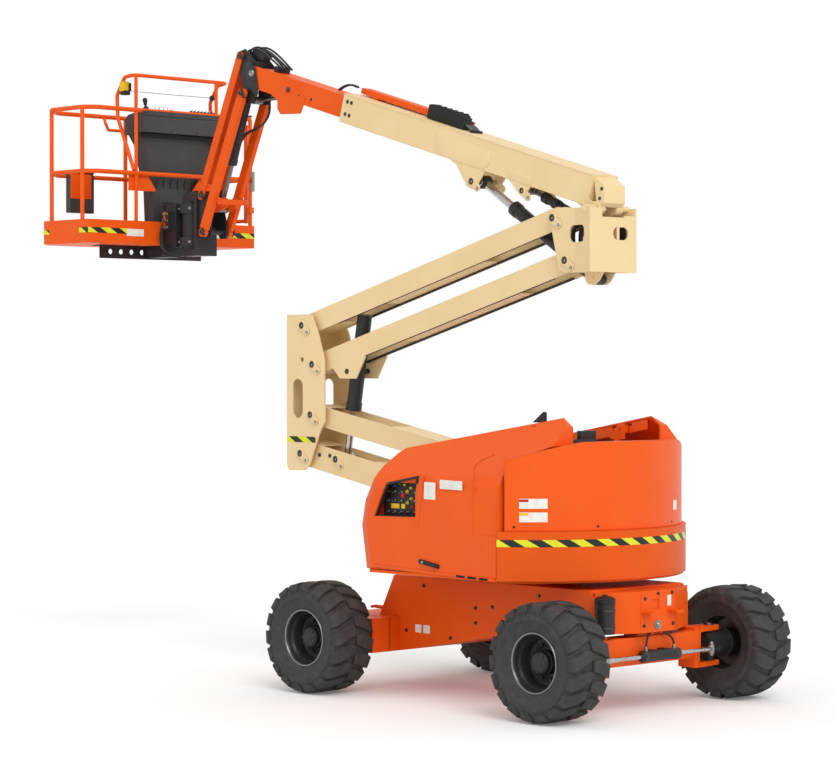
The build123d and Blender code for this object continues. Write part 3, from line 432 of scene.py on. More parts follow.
def fastenerTree():
    # a head with a chamfered crown on a washer
    tree, given = startTree("fasteners", "Places", {
        "Head Radius": 0.012, "Head Height": 0.009, "Washer Radius": 0.016, "Sides": 6}, "Finish")
    radius, height, corners = given["Head Radius"], given["Head Height"], given["Sides"]
    middle, chamfer, crown = [
        addNode(tree, "ShaderNodeMath", {"operation": "MULTIPLY", 0: whole, 1: part})
        for whole, part in ((height, 0.5), (height, 0.25), (radius, 0.82))]
    head = addNode(tree, "GeometryNodeMeshCylinder",
                   {"Radius": radius, "Depth": height, "Vertices": corners})
    top = addNode(tree, "GeometryNodeMeshCone", {"Radius Bottom": radius, "Radius Top": crown,
                                                 "Depth": chamfer, "Vertices": corners})
    washer = addNode(tree, "GeometryNodeMeshCylinder",
                     {"Vertices": 20, "Depth": 0.004, "Radius": given["Washer Radius"]})
    stacked = [washer]
    for piece, lift in ((top, height), (head, middle)):
        offset = addNode(tree, "ShaderNodeCombineXYZ", {2: lift})
        stacked.append(addNode(tree, "GeometryNodeTransform", {0: piece, "Translation": offset}))
    joined = addNode(tree, "GeometryNodeJoinGeometry")
    for piece in stacked:
        tree.links.new(piece.outputs[0], joined.inputs[0])
    facing = addNode(tree, "GeometryNodeInputNamedAttribute",
                     {"data_type": "FLOAT_VECTOR", "Name": "facing"})
    turn = addNode(tree, "FunctionNodeAlignRotationToVector", {"axis": "Z", "Vector": facing})
    return setOnPoints(tree, given["Places"], joined, turn, given["Finish"])


fastenersByPlaces = fastenerTree()


def applyTree(obj, tree, values):
    # runs a node tree on obj, keeps its result as a plain mesh
    modifier = obj.modifiers.new(tree.name, "NODES")
    modifier.node_group = tree
    for item in tree.interface.items_tree:
        if item.in_out == "INPUT" and item.name in values:
            modifier[item.identifier] = values[item.name]
    depsgraph = bpy.context.evaluated_depsgraph_get()
    mesh = bpy.data.meshes.new_from_object(obj.evaluated_get(depsgraph))
    obj.modifiers.remove(modifier)
    old = obj.data
    obj.data = mesh
    bpy.data.meshes.remove(old)
    return obj


def markedPoints(name, points, mark, kind, values):
    # loose points that each carry one named value for a node tree
    mesh = bpy.data.meshes.new(name)
    mesh.from_pydata([Vector(point) for point in points], [], [])
    layer = mesh.attributes.new(mark, kind, "POINT")
    for item, value in zip(layer.data, values):
        setattr(item, "vector" if kind == "FLOAT_VECTOR" else "value", value)
    return addObject(name, mesh)


def fasteners(name, body, places, radius, material, sides=6, washer=1.35, height=0.75):
    # places: (point, direction that the head faces)
    points, ways = zip(*places)
    obj = markedPoints(name, points, "facing", "FLOAT_VECTOR", ways)
    applyTree(obj, fastenersByPlaces, {
        "Head Radius": radius, "Head Height": radius * height,
        "Washer Radius": radius * washer, "Sides": sides, "Finish": material})
    return keep(obj, body, material)


bothSides = ((-1, "right"), (1, "left"))
outwardRight = Matrix.Rotation(pi / 2, 4, "X")


def outwardAt(place, side):
    # a frame whose Z faces out at that side of the machine
    return Matrix.Translation(place) @ Matrix.Rotation(-side * pi / 2, 4, "X")


def sideBolts(name, body, spots, y, radius, **more):
    # bolts at (x, z) spots, on both sides of the machine
    fasteners(name, body, [((x, side * y, z), (0, side, 0)) for x, z in spots
                           for side in (-1, 1)], radius, darkSteel, **more)


def sidePlates(name, outline, thickness, y, material, body, bevel):
    # a plate on each side; outline in X and Z as the right side shows it
    for side, label in bothSides:
        points = outline if side < 0 else [(-x, z) for x, z in outline][::-1]
        plate(name + label, points, thickness, [axes((0, side * y, 0), (-side, 0, 0), (0, 0, 1))],
              material, body + label if body.endswith("_") else body, bevel)


def sticker(name, place, across, width, height, body, corner=0.004, lean=0.0):
    # a blank label of white film
    plate(name, roundedOutline(width, height, corner), 0.0012,
          [axes(place, across, (0, 0, 1)) @ Matrix.Rotation(lean, 4, "Z")], whiteFilm, body, 0)


print("helpers ready")

cameraLook = {"place": (13.65, -14.35, 2.484), "azimuth": 45.85, "pitch": -0.56,
              "focalLength": 115.63}
camera = addObject("camera", bpy.data.cameras.new("camera"))
camera.data.lens = cameraLook["focalLength"]
camera.data.sensor_width = 36
camera.data.sensor_fit = "HORIZONTAL"
camera.data.clip_end = 200
camera.location = cameraLook["place"]
camera.rotation_euler = (radians(90 + cameraLook["pitch"]), 0, radians(cameraLook["azimuth"]))
scene.camera = camera

studio = {"ambient": 0.78, "key": 1.25, "keyTilt": 48, "keyTurn": 62, "spread": 35,
          "floor": "F4F4F2", "floorHalf": 60, "glow": 0.12}
scene.view_settings.view_transform = "Standard"
world = bpy.data.worlds.new("studio")
scene.world = world
world.use_nodes = True
worldTree = world.node_tree
worldTree.nodes.clear()
rays = addNode(worldTree, "ShaderNodeLightPath").outputs
seen = addNode(worldTree, "ShaderNodeMath", {
    "operation": "MAXIMUM", 0: rays["Is Camera Ray"], 1: rays["Is Transmission Ray"]})
plain, bright = [
    addNode(worldTree, "ShaderNodeBackground", {"Color": (1, 1, 1, 1), "Strength": strength})
    for strength in (studio["ambient"], 1.0)]
either = addNode(worldTree, "ShaderNodeMixShader", {0: seen, 1: plain, 2: bright})
addNode(worldTree, "ShaderNodeOutputWorld", {0: either})

sun = addObject("key", bpy.data.lights.new("key", "SUN"))
sun.data.energy = studio["key"]
sun.data.angle = radians(studio["spread"])
sun.rotation_euler = (radians(studio["keyTilt"]), 0, radians(studio["keyTurn"]))

floorMesh = bmesh.new()
bmesh.ops.create_grid(floorMesh, x_segments=1, y_segments=1, size=studio["floorHalf"])
floor = fromBmesh("studio_floor", floorMesh)
floorMaterial, floorTree = startMaterial("pale_studio_floor")[:2]
floorSeen = addNode(floorTree, "ShaderNodeLightPath").outputs["Is Camera Ray"]
floorGlow = addNode(floorTree, "ShaderNodeMath",
                    {"operation": "MULTIPLY", 0: floorSeen, 1: studio["glow"]})
floor.data.materials.append(shade(floorMaterial, {
    "Base Color": linear(studio["floor"]), "Roughness": 0.9, "Specular IOR Level": 0.1,
    "Emission Color": (1, 1, 1, 1), "Emission Strength": floorGlow}))
print("camera, floor and lamps placed")

wheel = {"radius": 0.415, "track": 1.967, "base": 2.34, "lugs": 18}
wheelPlaces = {end + "_" + label: (sign * wheel["base"] / 2, side)
               for end, sign in (("front", 1), ("rear", -1)) for side, label in bothSides}

carcassHalf = [
    # radius, distance from the tyre's middle plane
    (0.2046, 0.146), (0.212, 0.152), (0.235, 0.160), (0.262, 0.172), (0.292, 0.184),
    (0.296, 0.1885), (0.312, 0.190), (0.335, 0.1885), (0.352, 0.184), (0.366, 0.1765),
    (0.377, 0.166), (0.384, 0.150), (0.3875, 0.115), (0.389, 0.06),
]
carcassProfile = ([(radius, -across) for radius, across in carcassHalf] + [(0.3895, 0.0)]
                  + carcassHalf[::-1] + [(0.2046, -0.146)])
lugShape = [
    # across the tread, offset round the tyre, half widths at foot and top, radii at foot, top
    (0.006, 0.000, 0.040, 0.033, 0.384, 0.4095), (0.030, 0.002, 0.047, 0.040, 0.384, 0.4120),
    (0.060, 0.004, 0.052, 0.046, 0.384, 0.4130), (0.095, 0.018, 0.055, 0.049, 0.382, 0.4125),
    (0.130, 0.033, 0.056, 0.050, 0.380, 0.4105), (0.160, 0.045, 0.056, 0.050, 0.374, 0.4065),
    (0.1800, 0.053, 0.054, 0.048, 0.366, 0.398), (0.1890, 0.057, 0.052, 0.046, 0.356, 0.384),
    (0.1925, 0.060, 0.050, 0.043, 0.344, 0.366), (0.1900, 0.061, 0.046, 0.040, 0.336, 0.350),
]


def lugMesh(side):
    # one lug at the top of the tyre, bent like a hockey stick
    bm = bmesh.new()
    rows = []
    for across, offset, foot, top, low, high in lugShape:
        row = []
        for shift, radius in ((-foot, low), (-top, high), (top, high), (foot, low)):
            angle = (offset + shift) / wheel["radius"]
            row.append(bm.verts.new((radius * sin(angle), side * across,
                                     radius * cos(angle))))
        rows.append(row)
    for here, there in zip(rows, rows[1:]):
        for k in range(3):
            bm.faces.new((here[k], here[k + 1], there[k + 1], there[k]))
        bm.faces.new((here[3], here[0], there[0], there[3]))
    bm.faces.new(rows[0])
    bm.faces.new(rows[-1])
    return fromBmesh("lug", bm)


def lugTree():
    # lugs spaced evenly round the wheel's axle
    tree, given = startTree("tyre_lugs", "Lug", {"Lugs": wheel["lugs"], "Phase": 0.0}, "Rubber")
    line = addNode(tree, "GeometryNodeMeshLine", {"Offset": (0, 0, 0), "Count": given["Lugs"]})
    step = addNode(tree, "ShaderNodeMath", {"operation": "DIVIDE", 0: 2 * pi, 1: given["Lugs"]})
    index = addNode(tree, "GeometryNodeInputIndex")
    shifted = addNode(tree, "ShaderNodeMath", {"operation": "ADD", 0: index, 1: given["Phase"]})
    angle = addNode(tree, "ShaderNodeMath", {"operation": "MULTIPLY", 0: shifted, 1: step})
    turn = addNode(tree, "ShaderNodeCombineXYZ", {1: angle})
    return setOnPoints(tree, line, given["Lug"], turn, given["Rubber"])


lugsRound = lugTree()


def joinMeshes(name, parts, matrix):
    bm = bmesh.new()
    for part in parts:
        bm.from_mesh(part.data)
        bpy.data.objects.remove(part)
    bmesh.ops.transform(bm, matrix=matrix, verts=bm.verts)
    mesh = bpy.data.meshes.new(name)
    bm.to_mesh(mesh)
    bm.free()
    return addObject(name, mesh)


def makeTyre(name, x, side):
    bm = bmesh.new()
    turned(bm, carcassProfile, Matrix.Rotation(-pi / 2, 4, "X"), 96)
    bmesh.ops.remove_doubles(bm, verts=bm.verts, dist=1e-6)
    parts = [fromBmesh("carcass", bm)]
    for half, phase in ((-1, 0.0), (1, 0.5)):
        lug = lugMesh(half)
        parts.append(applyTree(lug, lugsRound, {"Lugs": wheel["lugs"], "Phase": phase,
                                                "Rubber": rubber}))
    # the same tyre is turned half round for the left side
    place = Matrix.Translation((x, side * wheel["track"] / 2, wheel["radius"]))
    tyre = joinMeshes("tread_" + name, parts,
                      place @ Matrix.Rotation(0 if side < 0 else pi, 4, "Z"))
    sharpen(tyre, 40)
    keep(tyre, "wheel_" + name, rubber)
    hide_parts("tyre_" + name)


rimProfile = [
    # radius, distance towards the outside of the wheel, from its middle plane
    (0.2043, -0.146), (0.2043, 0.146), (0.2100, 0.1500), (0.2120, 0.1535), (0.2090, 0.1560),
    (0.2000, 0.1540), (0.1950, 0.1480), (0.1900, 0.1250), (0.1880, 0.1100), (0.1800, 0.1000),
    (0.1760, 0.0850), (0.1740, 0.0100), (0.1640, -0.0020), (0.1450, -0.0060),
    (0.1200, -0.0020), (0.1000, 0.0080), (0.0840, 0.0100), (0.0840, -0.0080),
    (0.1100, -0.0220), (0.1740, -0.0260), (0.1900, -0.1100), (0.1950, -0.1460),
    (0.2043, -0.146),
]
hubProfile = [
    (0.0000, 0.1180), (0.0260, 0.1180), (0.0280, 0.1150), (0.0520, 0.1130), (0.0660, 0.1080),
    (0.0780, 0.0960), (0.0800, 0.0880), (0.0800, 0.0640), (0.0860, 0.0600), (0.0875, 0.0540),
    (0.0875, 0.0100), (0.0878, -0.1090), (0.0000, -0.1095),
]
rimEdge = [(0.1985, 0.1525), (0.2000, 0.1552), (0.2050, 0.1572), (0.2095, 0.1572),
           (0.2118, 0.1545), (0.2090, 0.1550), (0.2050, 0.1556), (0.2000, 0.1530),
           (0.1985, 0.1525)]
valveStem = [(0.0, 0.045), (0.005, 0.045), (0.005, 0.0), (0.008, -0.004), (0.008, -0.02),
             (0.0, -0.02)]
wheelBolts = {
    # how many, radius of their circle, their radius, distance from the middle plane
    "nuts_": (9, 0.128, 0.013, -0.003),
    "cap_bolts_": (8, 0.060, 0.006, 0.110),
}


def makeRim(name, x, side):
    body = "wheel_" + name
    outward = outwardAt((x, side * wheel["track"] / 2, wheel["radius"]), side)
    rim = turnedPiece("rim_detail_" + name, rimProfile, [outward], rimPaint, body, 96)
    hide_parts("rim_" + name)
    # bright steel ring on the rim's lip: painted highlight
    turnedPiece("rim_edge_" + name, rimEdge, [outward], rimEdgeHighlight, body, 96)
    turnedPiece("hub_drum_" + name, hubProfile, [outward], blackPaint, body, 64)
    for label, (count, circle, radius, depth) in wheelBolts.items():
        places = []
        for number in range(count):
            angle = 2 * pi * number / count
            spot = Vector((circle * cos(angle), circle * sin(angle), depth))
            places.append((outward @ spot, (0, side, 0)))
        fasteners(label + name, body, places, radius, darkSteel, height=1.1)
    stem = outward @ Matrix.Translation((0.165, 0.0, 0.075)) @ Matrix.Rotation(-0.5, 4, "Y")
    turnedPiece("valve_" + name, valveStem, [stem], bootRubber, body, 12)


for wheelName, (wheelX, wheelSide) in wheelPlaces.items():
    makeTyre(wheelName, wheelX, wheelSide)
    makeRim(wheelName, wheelX, wheelSide)
print("wheels made")

armPins = {
    # place (x, z): the body that the head rides on, half width under the head, radius
    "midTopUpright": ((-2.268, 2.745), "upright", 0.178, 0.027),
    "midBottomUpright": ((-2.145, 2.436), "upright", 0.178, 0.027),
    "lowerTopUpright": ((-2.167, 2.037), "upright", 0.178, 0.027),
    "lowerBottomUpright": ((-2.288, 1.729), "upright", 0.178, 0.027),
    "midTopKnuckle": ((0.445, 3.497), "knuckle", 0.178, 0.027),
    "midBottomKnuckle": ((0.568, 3.188), "knuckle", 0.178, 0.027),
    "liftPinBoom": ((-0.415, 3.802), "main_boom", 0.136, 0.025),
    "levelPinBoom": ((0.104, 3.710), "main_boom", 0.136, 0.021),
    "towerRodPin": ((-1.926, 1.690), "lower_arm_bottom", 0.126, 0.027),
}
keeper = {"length": 0.105, "height": 0.058, "corner": 0.024, "thickness": 0.008,
          "bolt": 0.010, "bore": 0.012}


def pinDress(name, spec):
    # each pin end: bright end with a drilled centre, a collar and a bolted keeper plate
    (x, z), body, half, radius = spec
    for side, label in bothSides:
        outward = outwardAt((x, side * half, z), side)
        turnedPiece("pin_end_%s_%s" % (name, label), [
            (0.0, -0.002), (keeper["bore"] * 0.6, -0.002), (keeper["bore"] * 0.7, 0.006),
            (keeper["bore"], 0.010), (radius - 0.004, 0.010), (radius, 0.006),
            (radius, -0.010), (0.0, -0.010)], [outward], darkSteel, body, 28)
        turnedPiece("pin_collar_%s_%s" % (name, label), [
            (radius + 0.001, 0.0), (radius + 0.001, 0.006), (radius + 0.014, 0.005),
            (radius + 0.016, 0.0), (radius + 0.016, -0.007), (radius + 0.001, -0.007)],
            [outward], creamPaint, body, 32)
        tab = axes((x + 0.038, side * (half - 0.004), z - 0.034),
                   (-side * 0.78, 0, side * 0.62), (0.62, 0, 0.78))
        plate("keeper_%s_%s" % (name, label),
              roundedOutline(keeper["length"], keeper["height"], keeper["corner"]),
              keeper["thickness"], [tab], creamPaint, body)
        spot = (x + 0.062, side * (half + 0.004), z - 0.054)
        fasteners("keeper_bolt_%s_%s" % (name, label), body, [(spot, (0, side, 0))],
                  keeper["bolt"], zincSteel)


for pinName, pinSpec in armPins.items():
    pinDress(pinName, pinSpec)

boomLine = {"tail": (0.806, 3.791), "angle": 16.33, "seam": 0.1302, "seamEnds": (0.02, 1.4, 2.72)}
along = Vector((-cos(radians(boomLine["angle"])), 0, sin(radians(boomLine["angle"]))))
aboveBoom = Vector((along.z, 0, -along.x))


def onBoom(distance, below, y):
    spot = Vector((boomLine["tail"][0], 0, boomLine["tail"][1]))
    spot = spot + along * distance - aboveBoom * below
    return Vector((spot.x, y, spot.z))


def boomPlace(distance, below, y):
    # a frame on the boom's top: X along it, Z up from it
    frameHere = Matrix((along, Vector((0, 1, 0)), aboveBoom)).transposed().to_4x4()
    return Matrix.Translation(onBoom(distance, below, y)) @ frameHere


def weld(name, lines, body, material, size=0.0035):
    # a laid bead: a slim tube along each seam
    tube(name, lines, size, material, body, rings=4)


weld("boom_seams", [[onBoom(distance, below, side * boomLine["seam"])
                     for distance in boomLine["seamEnds"]]
                    for below in (0.006, 0.222) for side in (-1, 1)], "main_boom", creamPaint)
weld("tail_seam", [[(0.777, side * boomLine["seam"], 3.756),
                    (0.762, side * boomLine["seam"], 3.700),
                    (0.748, side * boomLine["seam"], 3.650)] for side in (-1, 1)],
     "main_boom", creamPaint)
doublers = {
    # outline in X and Z of the plates welded over the cylinders' lugs
    "lift": [(-0.800, 4.030), (-0.620, 3.976), (-0.300, 3.882), (-0.245, 3.915),
             (-0.209, 3.987), (-0.250, 4.027), (-0.800, 4.185)],
    "level": [(-0.050, 3.807), (0.160, 3.745), (0.190, 3.745), (0.208, 3.797), (0.178, 3.821),
              (-0.050, 3.885)],
}
for doublerName, outline in doublers.items():
    sidePlates("doubler_%s_" % doublerName, outline, 0.004, 0.1300, creamPaint, "main_boom",
               0.0012)
boltSpots = {
    # (x, z) of bolts that show on both sides
    "wearPad": [(-1.783, 4.489), (-1.737, 4.476), (-1.811, 4.394), (-1.765, 4.380)],
    "tail": [(0.866, 3.690), (0.846, 3.622)],
    "lowerArm": [(-2.120, 1.719), (-2.000, 1.717)],
    "chassis": [(-0.013, 0.672), (-0.013, 0.563), (0.159, 0.690), (-0.735, 0.459),
                (-0.270, 0.434), (-0.55, 0.80), (0.45, 0.62), (0.70, 0.62), (0.62, 0.80)],
}
sideBolts("wear_pad_bolts", "main_boom", boltSpots["wearPad"], 0.1305, 0.010, sides=12,
          washer=1.5)
sideBolts("tail_bolts", "main_boom", boltSpots["tail"], 0.1132, 0.010, height=0.4)
sideBolts("lower_arm_bolts", "lower_arm_bottom", boltSpots["lowerArm"], 0.1205, 0.012)
# black tubes along both lower edges of the middle arms: painted shade for the shadow inside the
# channel's lips
armEdgeShadeLines = {
    # pins at the arm's ends, half its depth, the arm's body
    "top": ((-2.268, 2.745), (0.445, 3.497), 0.080, "mid_arm_top"),
    "bottom": ((-2.145, 2.436), (0.568, 3.188), 0.080, "mid_arm_bottom"),
}
for shadeLineName, ((ax, az), (bx, bz), half, body) in armEdgeShadeLines.items():
    way = Vector((bx - ax, 0, bz - az))
    down = Vector((way.z, 0, -way.x)).normalized() * (half - 0.007)
    tube("arm_edge_painted_shade_" + shadeLineName,
         [[Vector((ax, y, az)) + down + way * part for part in (0.12, 0.5, 0.93)]
          for y in (-0.100, 0.100)], 0.0095, hoseRubber, body)
strip("upright_tape", [[((x, side * 0.1702, 1.817), (0, side, 0)) for x in (-2.452, -2.112)]
                       for side in (-1, 1)], 0.046, "upright")
print("pins and boom dressed")

cylinders = {
    # base pin, head pin, mouth of the barrel from the base, barrel radius, rod radius
    "lift": ((0.728, 3.052), (-0.415, 3.802), 0.770, 0.052, 0.030),
    "level": ((0.785, 3.388), (0.104, 3.710), 0.520, 0.034, 0.018),
    "jib": ((-3.062, 4.800), (-3.473, 3.724), 0.760, 0.038, 0.019),
    "slave": ((-2.240, 4.592), (-3.015, 4.592), 0.500, 0.026, 0.014),
}
sleeves = {
    # end of the black head from the base pin, and its radius
    "lift": (1.000, 0.057),
    "level": (0.650, 0.040),
}
portTurn = Matrix(((0, 0, 1), (1, 0, 0), (0, 1, 0))).transposed().to_4x4()


def cylinderBase(name):
    # a frame at the base pin: Z along the cylinder, X towards the right side
    (bx, bz), (hx, hz) = cylinders[name][:2]
    way = Vector((hx - bx, 0, hz - bz)).normalized()
    right = Vector((0, -1, 0))
    turn = Matrix((right, way.cross(right), way)).transposed().to_4x4()
    return Matrix.Translation((bx, 0, bz)) @ turn


def cylinderDress(name):
    # gland ring, port bosses and the hard line that runs down the barrel
    mouth, barrel, rod = cylinders[name][2:]
    base = cylinderBase(name)
    body = name + "_barrel"
    turnedPiece("gland_" + name, [
        (rod + 0.0008, -0.004), (rod + 0.0008, 0.010), (rod + 0.006, 0.012),
        (barrel * 0.8, 0.010), (barrel + 0.003, 0.003), (barrel + 0.003, -0.004)],
        [base @ Matrix.Translation((0, 0, mouth + 0.0005))], darkSteel, body, 40)
    if name in sleeves:
        end, radius = sleeves[name]
        turnedPiece("head_sleeve_" + name, [
            (rod + 0.001, end - 0.010), (rod + 0.006, end), (radius - 0.006, end),
            (radius, end - 0.006), (radius, end - 0.060), (radius - 0.006, end - 0.066),
            (radius - 0.006, mouth + 0.02), (radius, mouth + 0.012), (radius, mouth - 0.03),
            (barrel + 0.001, mouth - 0.036)], [base], blackPaint, body, 40)
    if name == "level":
        return
    turnedPiece("ports_" + name, [(0.0, -0.004), (0.017, -0.004), (0.017, 0.012), (0.012, 0.014),
                                  (0.012, 0.024), (0.009, 0.026), (0.0, 0.026)],
                [base @ Matrix.Translation((0, barrel * 0.86, distance)) @ portTurn
                 for distance in (0.085, mouth - 0.10)], zincSteel, body, 12)
    rise, top = barrel + 0.004, barrel + 0.018
    route = [(0.085, rise), (0.085, top), (0.14, top), (mouth - 0.15, top), (mouth - 0.10, top),
             (mouth - 0.10, rise)]
    tube("hard_line_" + name, [[base @ Vector((0, height, distance))
                                for distance, height in route]], 0.006, darkSteel, body)


for cylinderName in cylinders:
    cylinderDress(cylinderName)
turnedPiece("rod_eye_lift", [
    (0.030, -0.044), (0.048, -0.044), (0.051, -0.040), (0.051, 0.040), (0.048, 0.044),
    (0.030, 0.044)], [Matrix.Translation((-0.415, 0, 3.802)) @ outwardRight], blackPaint,
    "lift_rod", 36)
print("cylinders dressed")

chain = {"links": 20, "start": 1.455, "pitch": 0.0205, "height": 0.116, "dip": 0.006}
carriers = []
for number in range(chain["links"]):
    matrix = boomPlace(chain["start"] + number * chain["pitch"], 0.0, 0.005)
    # the first two links climb, and then every third one stands lower
    height = chain["height"] - chain["dip"] * (number % 3) if number > 1 else 0.070 + 0.020 * number
    carriers.append(((-0.0092, -0.066, 0.004), (0.0092, 0.034, height), matrix))
boxes("cable_chain_links", carriers, blackPlastic, "main_boom", 0.003)
tube("boom_hoses", [[onBoom(1.36, 0.002, y), onBoom(1.38, -0.022, y), onBoom(1.42, -0.038, y),
                     onBoom(1.49, -0.042, y * 0.8)] for y in (-0.04, -0.015, 0.01, 0.035)],
     0.009, greyHose, "main_boom")
boxes("hose_clamp", [((-0.015, -0.058, 0.0), (0.015, 0.053, 0.020), boomPlace(1.36, 0.0, 0))],
      blackPlastic, "main_boom", 0.004)
tube("fly_hoses", [[onBoom(distance, below, y) for distance, below in (
    (2.695, -0.060), (2.740, -0.066), (2.800, -0.058), (2.860, -0.030), (2.900, 0.006))]
    for y in (-0.046, -0.028)], 0.008, hoseRubber, "main_boom")
port = Matrix.Translation((-2.505, -0.1045, 4.636)) @ Matrix.Rotation(
    radians(boomLine["angle"]), 4, "Y") @ outwardRight
# near-black plate round the plug: painted shade in the port's opening
plate("fly_port", roundedOutline(0.112, 0.052, 0.024), 0.002, [port], paintedShadeBlack, "fly_boom",
      0.0008)
turnedPiece("fly_port_plug", [(0.0, 0.022), (0.014, 0.021), (0.019, 0.014), (0.020, 0.002),
                              (0.0, 0.002)], [port], darkSteel, "fly_boom", 24)
fasteners("fly_bolts", "fly_boom", [((x, -0.1047, z), (0, -1, 0))
                                    for x, z in ((-2.377, 4.585), (-2.238, 4.540))], 0.009,
          darkSteel)
print("hoses on the boom made")

hoodLine = {
    # the control panel's window in the right hood: corners in X and Z, its middle
    "window": [(-0.577, 1.336), (-0.459, 1.575), (-0.146, 1.634), (-0.146, 1.345)],
    "middle": (-0.33, 1.47), "outer": 0.010, "inner": 0.016, "faces": (-0.9655, -0.945),
}


def windowSeal():
    # black moulded surround just inside the window's opening
    bm = bmesh.new()
    middle = Vector((hoodLine["middle"][0], 0, hoodLine["middle"][1]))
    corners = [Vector((x, 0, z)) for x, z in hoodLine["window"]]
    outer = [corner + (corner - middle).normalized() * hoodLine["outer"] for corner in corners]
    inner = [corner - (corner - middle).normalized() * hoodLine["inner"] for corner in corners]
    near, far = hoodLine["faces"]
    rows = [[bm.verts.new((p.x, y, p.z)) for p in points]
            for points, y in ((outer, near), (inner, near), (inner, far), (outer, far))]
    count = len(rows)
    for here in range(count):
        low, high = rows[here], rows[(here + 1) % count]
        for k in range(len(corners)):
            after = (k + 1) % len(corners)
            bm.faces.new((low[k], low[after], high[after], high[k]))
    return keep(sharpen(fromBmesh("window_surround", bm)), "hood_right", blackPlastic)


windowSeal()
panel = {"x": (-0.555, -0.165), "z": (1.325, 1.620), "y": -0.906, "thick": 0.004,
         "windowZ": (1.395, 1.430), "switchRows": (1.372, 1.455, 1.518), "switches": 5,
         "firstSwitch": -0.495, "switchPitch": 0.067}
boxes("control_panel_face", [((panel["x"][0], panel["y"], panel["z"][0]),
                              (panel["x"][1], panel["y"] + panel["thick"], panel["z"][1]))],
      blackPlastic, "turntable", 0.002)
buttons = [
    # x, z, radius, finish
    (-0.345, 1.492, 0.017, redPlastic), (-0.300, 1.520, 0.011, yellowPlastic),
    (-0.262, 1.548, 0.009, yellowPlastic), (-0.430, 1.560, 0.008, bluePlastic),
    (-0.380, 1.575, 0.008, greenPlastic), (-0.300, 1.440, 0.010, yellowPlastic),
    (-0.260, 1.470, 0.009, yellowPlastic), (-0.250, 1.410, 0.009, redPlastic),
    (-0.330, 1.570, 0.008, yellowPlastic),
]
for number, (x, z, radius, finish) in enumerate(buttons):
    turnedPiece("panel_button_%d" % number, [
        (0.0, 0.018), (radius * 0.5, 0.017), (radius * 0.9, 0.013), (radius, 0.008),
        (radius, 0.004), (radius * 1.25, 0.004), (radius * 1.3, 0.0), (0.0, 0.0)],
        [Matrix.Translation((x, panel["y"], z)) @ outwardRight], finish, "turntable", 24)
boxes("panel_windows", [((first, panel["y"] - 0.004, panel["windowZ"][0]),
                         (last, panel["y"] + 0.001, panel["windowZ"][1]))
                        for first, last in ((-0.470, -0.385), (-0.365, -0.325))], yellowFilm,
      "turntable", 0.002)
toggles = [Matrix.Translation((panel["firstSwitch"] + panel["switchPitch"] * number,
                               panel["y"], z)) @ outwardRight @ Matrix.Rotation(0.25, 4, "X")
           for z in panel["switchRows"] for number in range(panel["switches"])]
turnedPiece("panel_switches", [(0.0, 0.030), (0.003, 0.029), (0.004, 0.024), (0.0025, 0.006),
                               (0.008, 0.005), (0.009, 0.0), (0.0, 0.0)],
            toggles, zincSteel, "turntable", 12)

labels = {
    # name: low x, high x, low z, high z on the right hood's side
    "hood_label_front": (-0.055, 0.060, 1.478, 1.600),
    "hood_label_rear": (0.105, 0.330, 1.555, 1.620),
}
for labelName, (x0, x1, z0, z1) in labels.items():
    sticker(labelName, ((x0 + x1) / 2, -0.9802, (z0 + z1) / 2), (1, 0, 0), x1 - x0, z1 - z0,
            "hood_right", 0.006, -0.02)

latch = {"place": (0.0, -0.981, 1.018), "lean": 9, "length": 0.205, "height": 0.030}
latchFrame = Matrix.Translation(latch["place"]) @ Matrix.Rotation(radians(latch["lean"]), 4, "Y")
latchBody = ((-latch["length"] / 2, -0.014, -latch["height"] / 2),
             (latch["length"] / 2, 0.004, latch["height"] / 2))
boxes("hood_latch", [(*latchBody, latchFrame),
                     ((0.02, -0.026, -0.010), (latch["length"] / 2 - 0.01, -0.010, 0.012),
                      latchFrame)], blackPlastic, "hood_right", 0.005)
boxes("hood_latch_left", [(*latchBody, Matrix.Scale(-1, 4, (0, 1, 0)) @ latchFrame)],
      blackPlastic, "hood_left", 0.005)
turnedPiece("hood_latch_lock", [(0.0, 0.006), (0.009, 0.006), (0.011, 0.003), (0.011, 0.0),
                                (0.0, 0.0)],
            [latchFrame @ Matrix.Translation((-0.06, -0.014, 0)) @ outwardRight], zincSteel,
            "hood_right", 20)

hoodEdge = {
    # lip under the hood, its slots (x, z) and their slope, the crease of the ridge
    "lip": [(-0.570, 0.9600), (0.655, 0.9230), (0.655, 0.9500), (-0.570, 0.9880)],
    "slots": ((0.317, 0.9466), (0.430, 0.9432), (0.543, 0.9398)), "slope": 1.7,
    "crease": ((0.442, 1.281), (0.442, 1.500), (0.442, 1.690), (0.452, 1.738), (0.531, 1.776),
               (0.640, 1.812)),
}
sidePlates("hood_lip_", hoodEdge["lip"], 0.007, 0.9795, shellPaint, "hood_", 0.003)
for side, label in bothSides:
    slotFrames = [axes((x, side * 0.9862, z), (-side, 0, 0), (0, 0, 1))
                  @ Matrix.Rotation(side * radians(hoodEdge["slope"]), 4, "Z")
                  for x, z in hoodEdge["slots"]]
    # near-black plates in the slots: painted shade inside them
    plate("hood_lip_slots_" + label, roundedOutline(0.088, 0.0165, 0.008), 0.0012, slotFrames,
          paintedShadeBlack, "hood_" + label, 0)
    tube("hood_crease_" + label, [[(x, side * 0.9785, z) for x, z in hoodEdge["crease"]]],
         0.0065, shellPaint, "hood_" + label)
boxes("boom_rest", [((0.672, -0.405, 1.600), (0.712, 0.020, 1.905)),
                    ((0.668, -0.345, 1.890), (0.706, -0.255, 1.940)),
                    ((0.668, -0.160, 1.890), (0.706, 0.010, 1.965))], blackPaint, "turntable",
      0.006)
tail = {"weight": 1.186, "cover": 1.156, "half": 0.98, "tapeZ": 1.172, "tapeHeight": 0.050,
        "tapeSteps": 32}


def onArc(radius, angle, z, proud):
    return Vector((cos(angle) * (radius + proud), sin(angle) * (radius + proud), z))


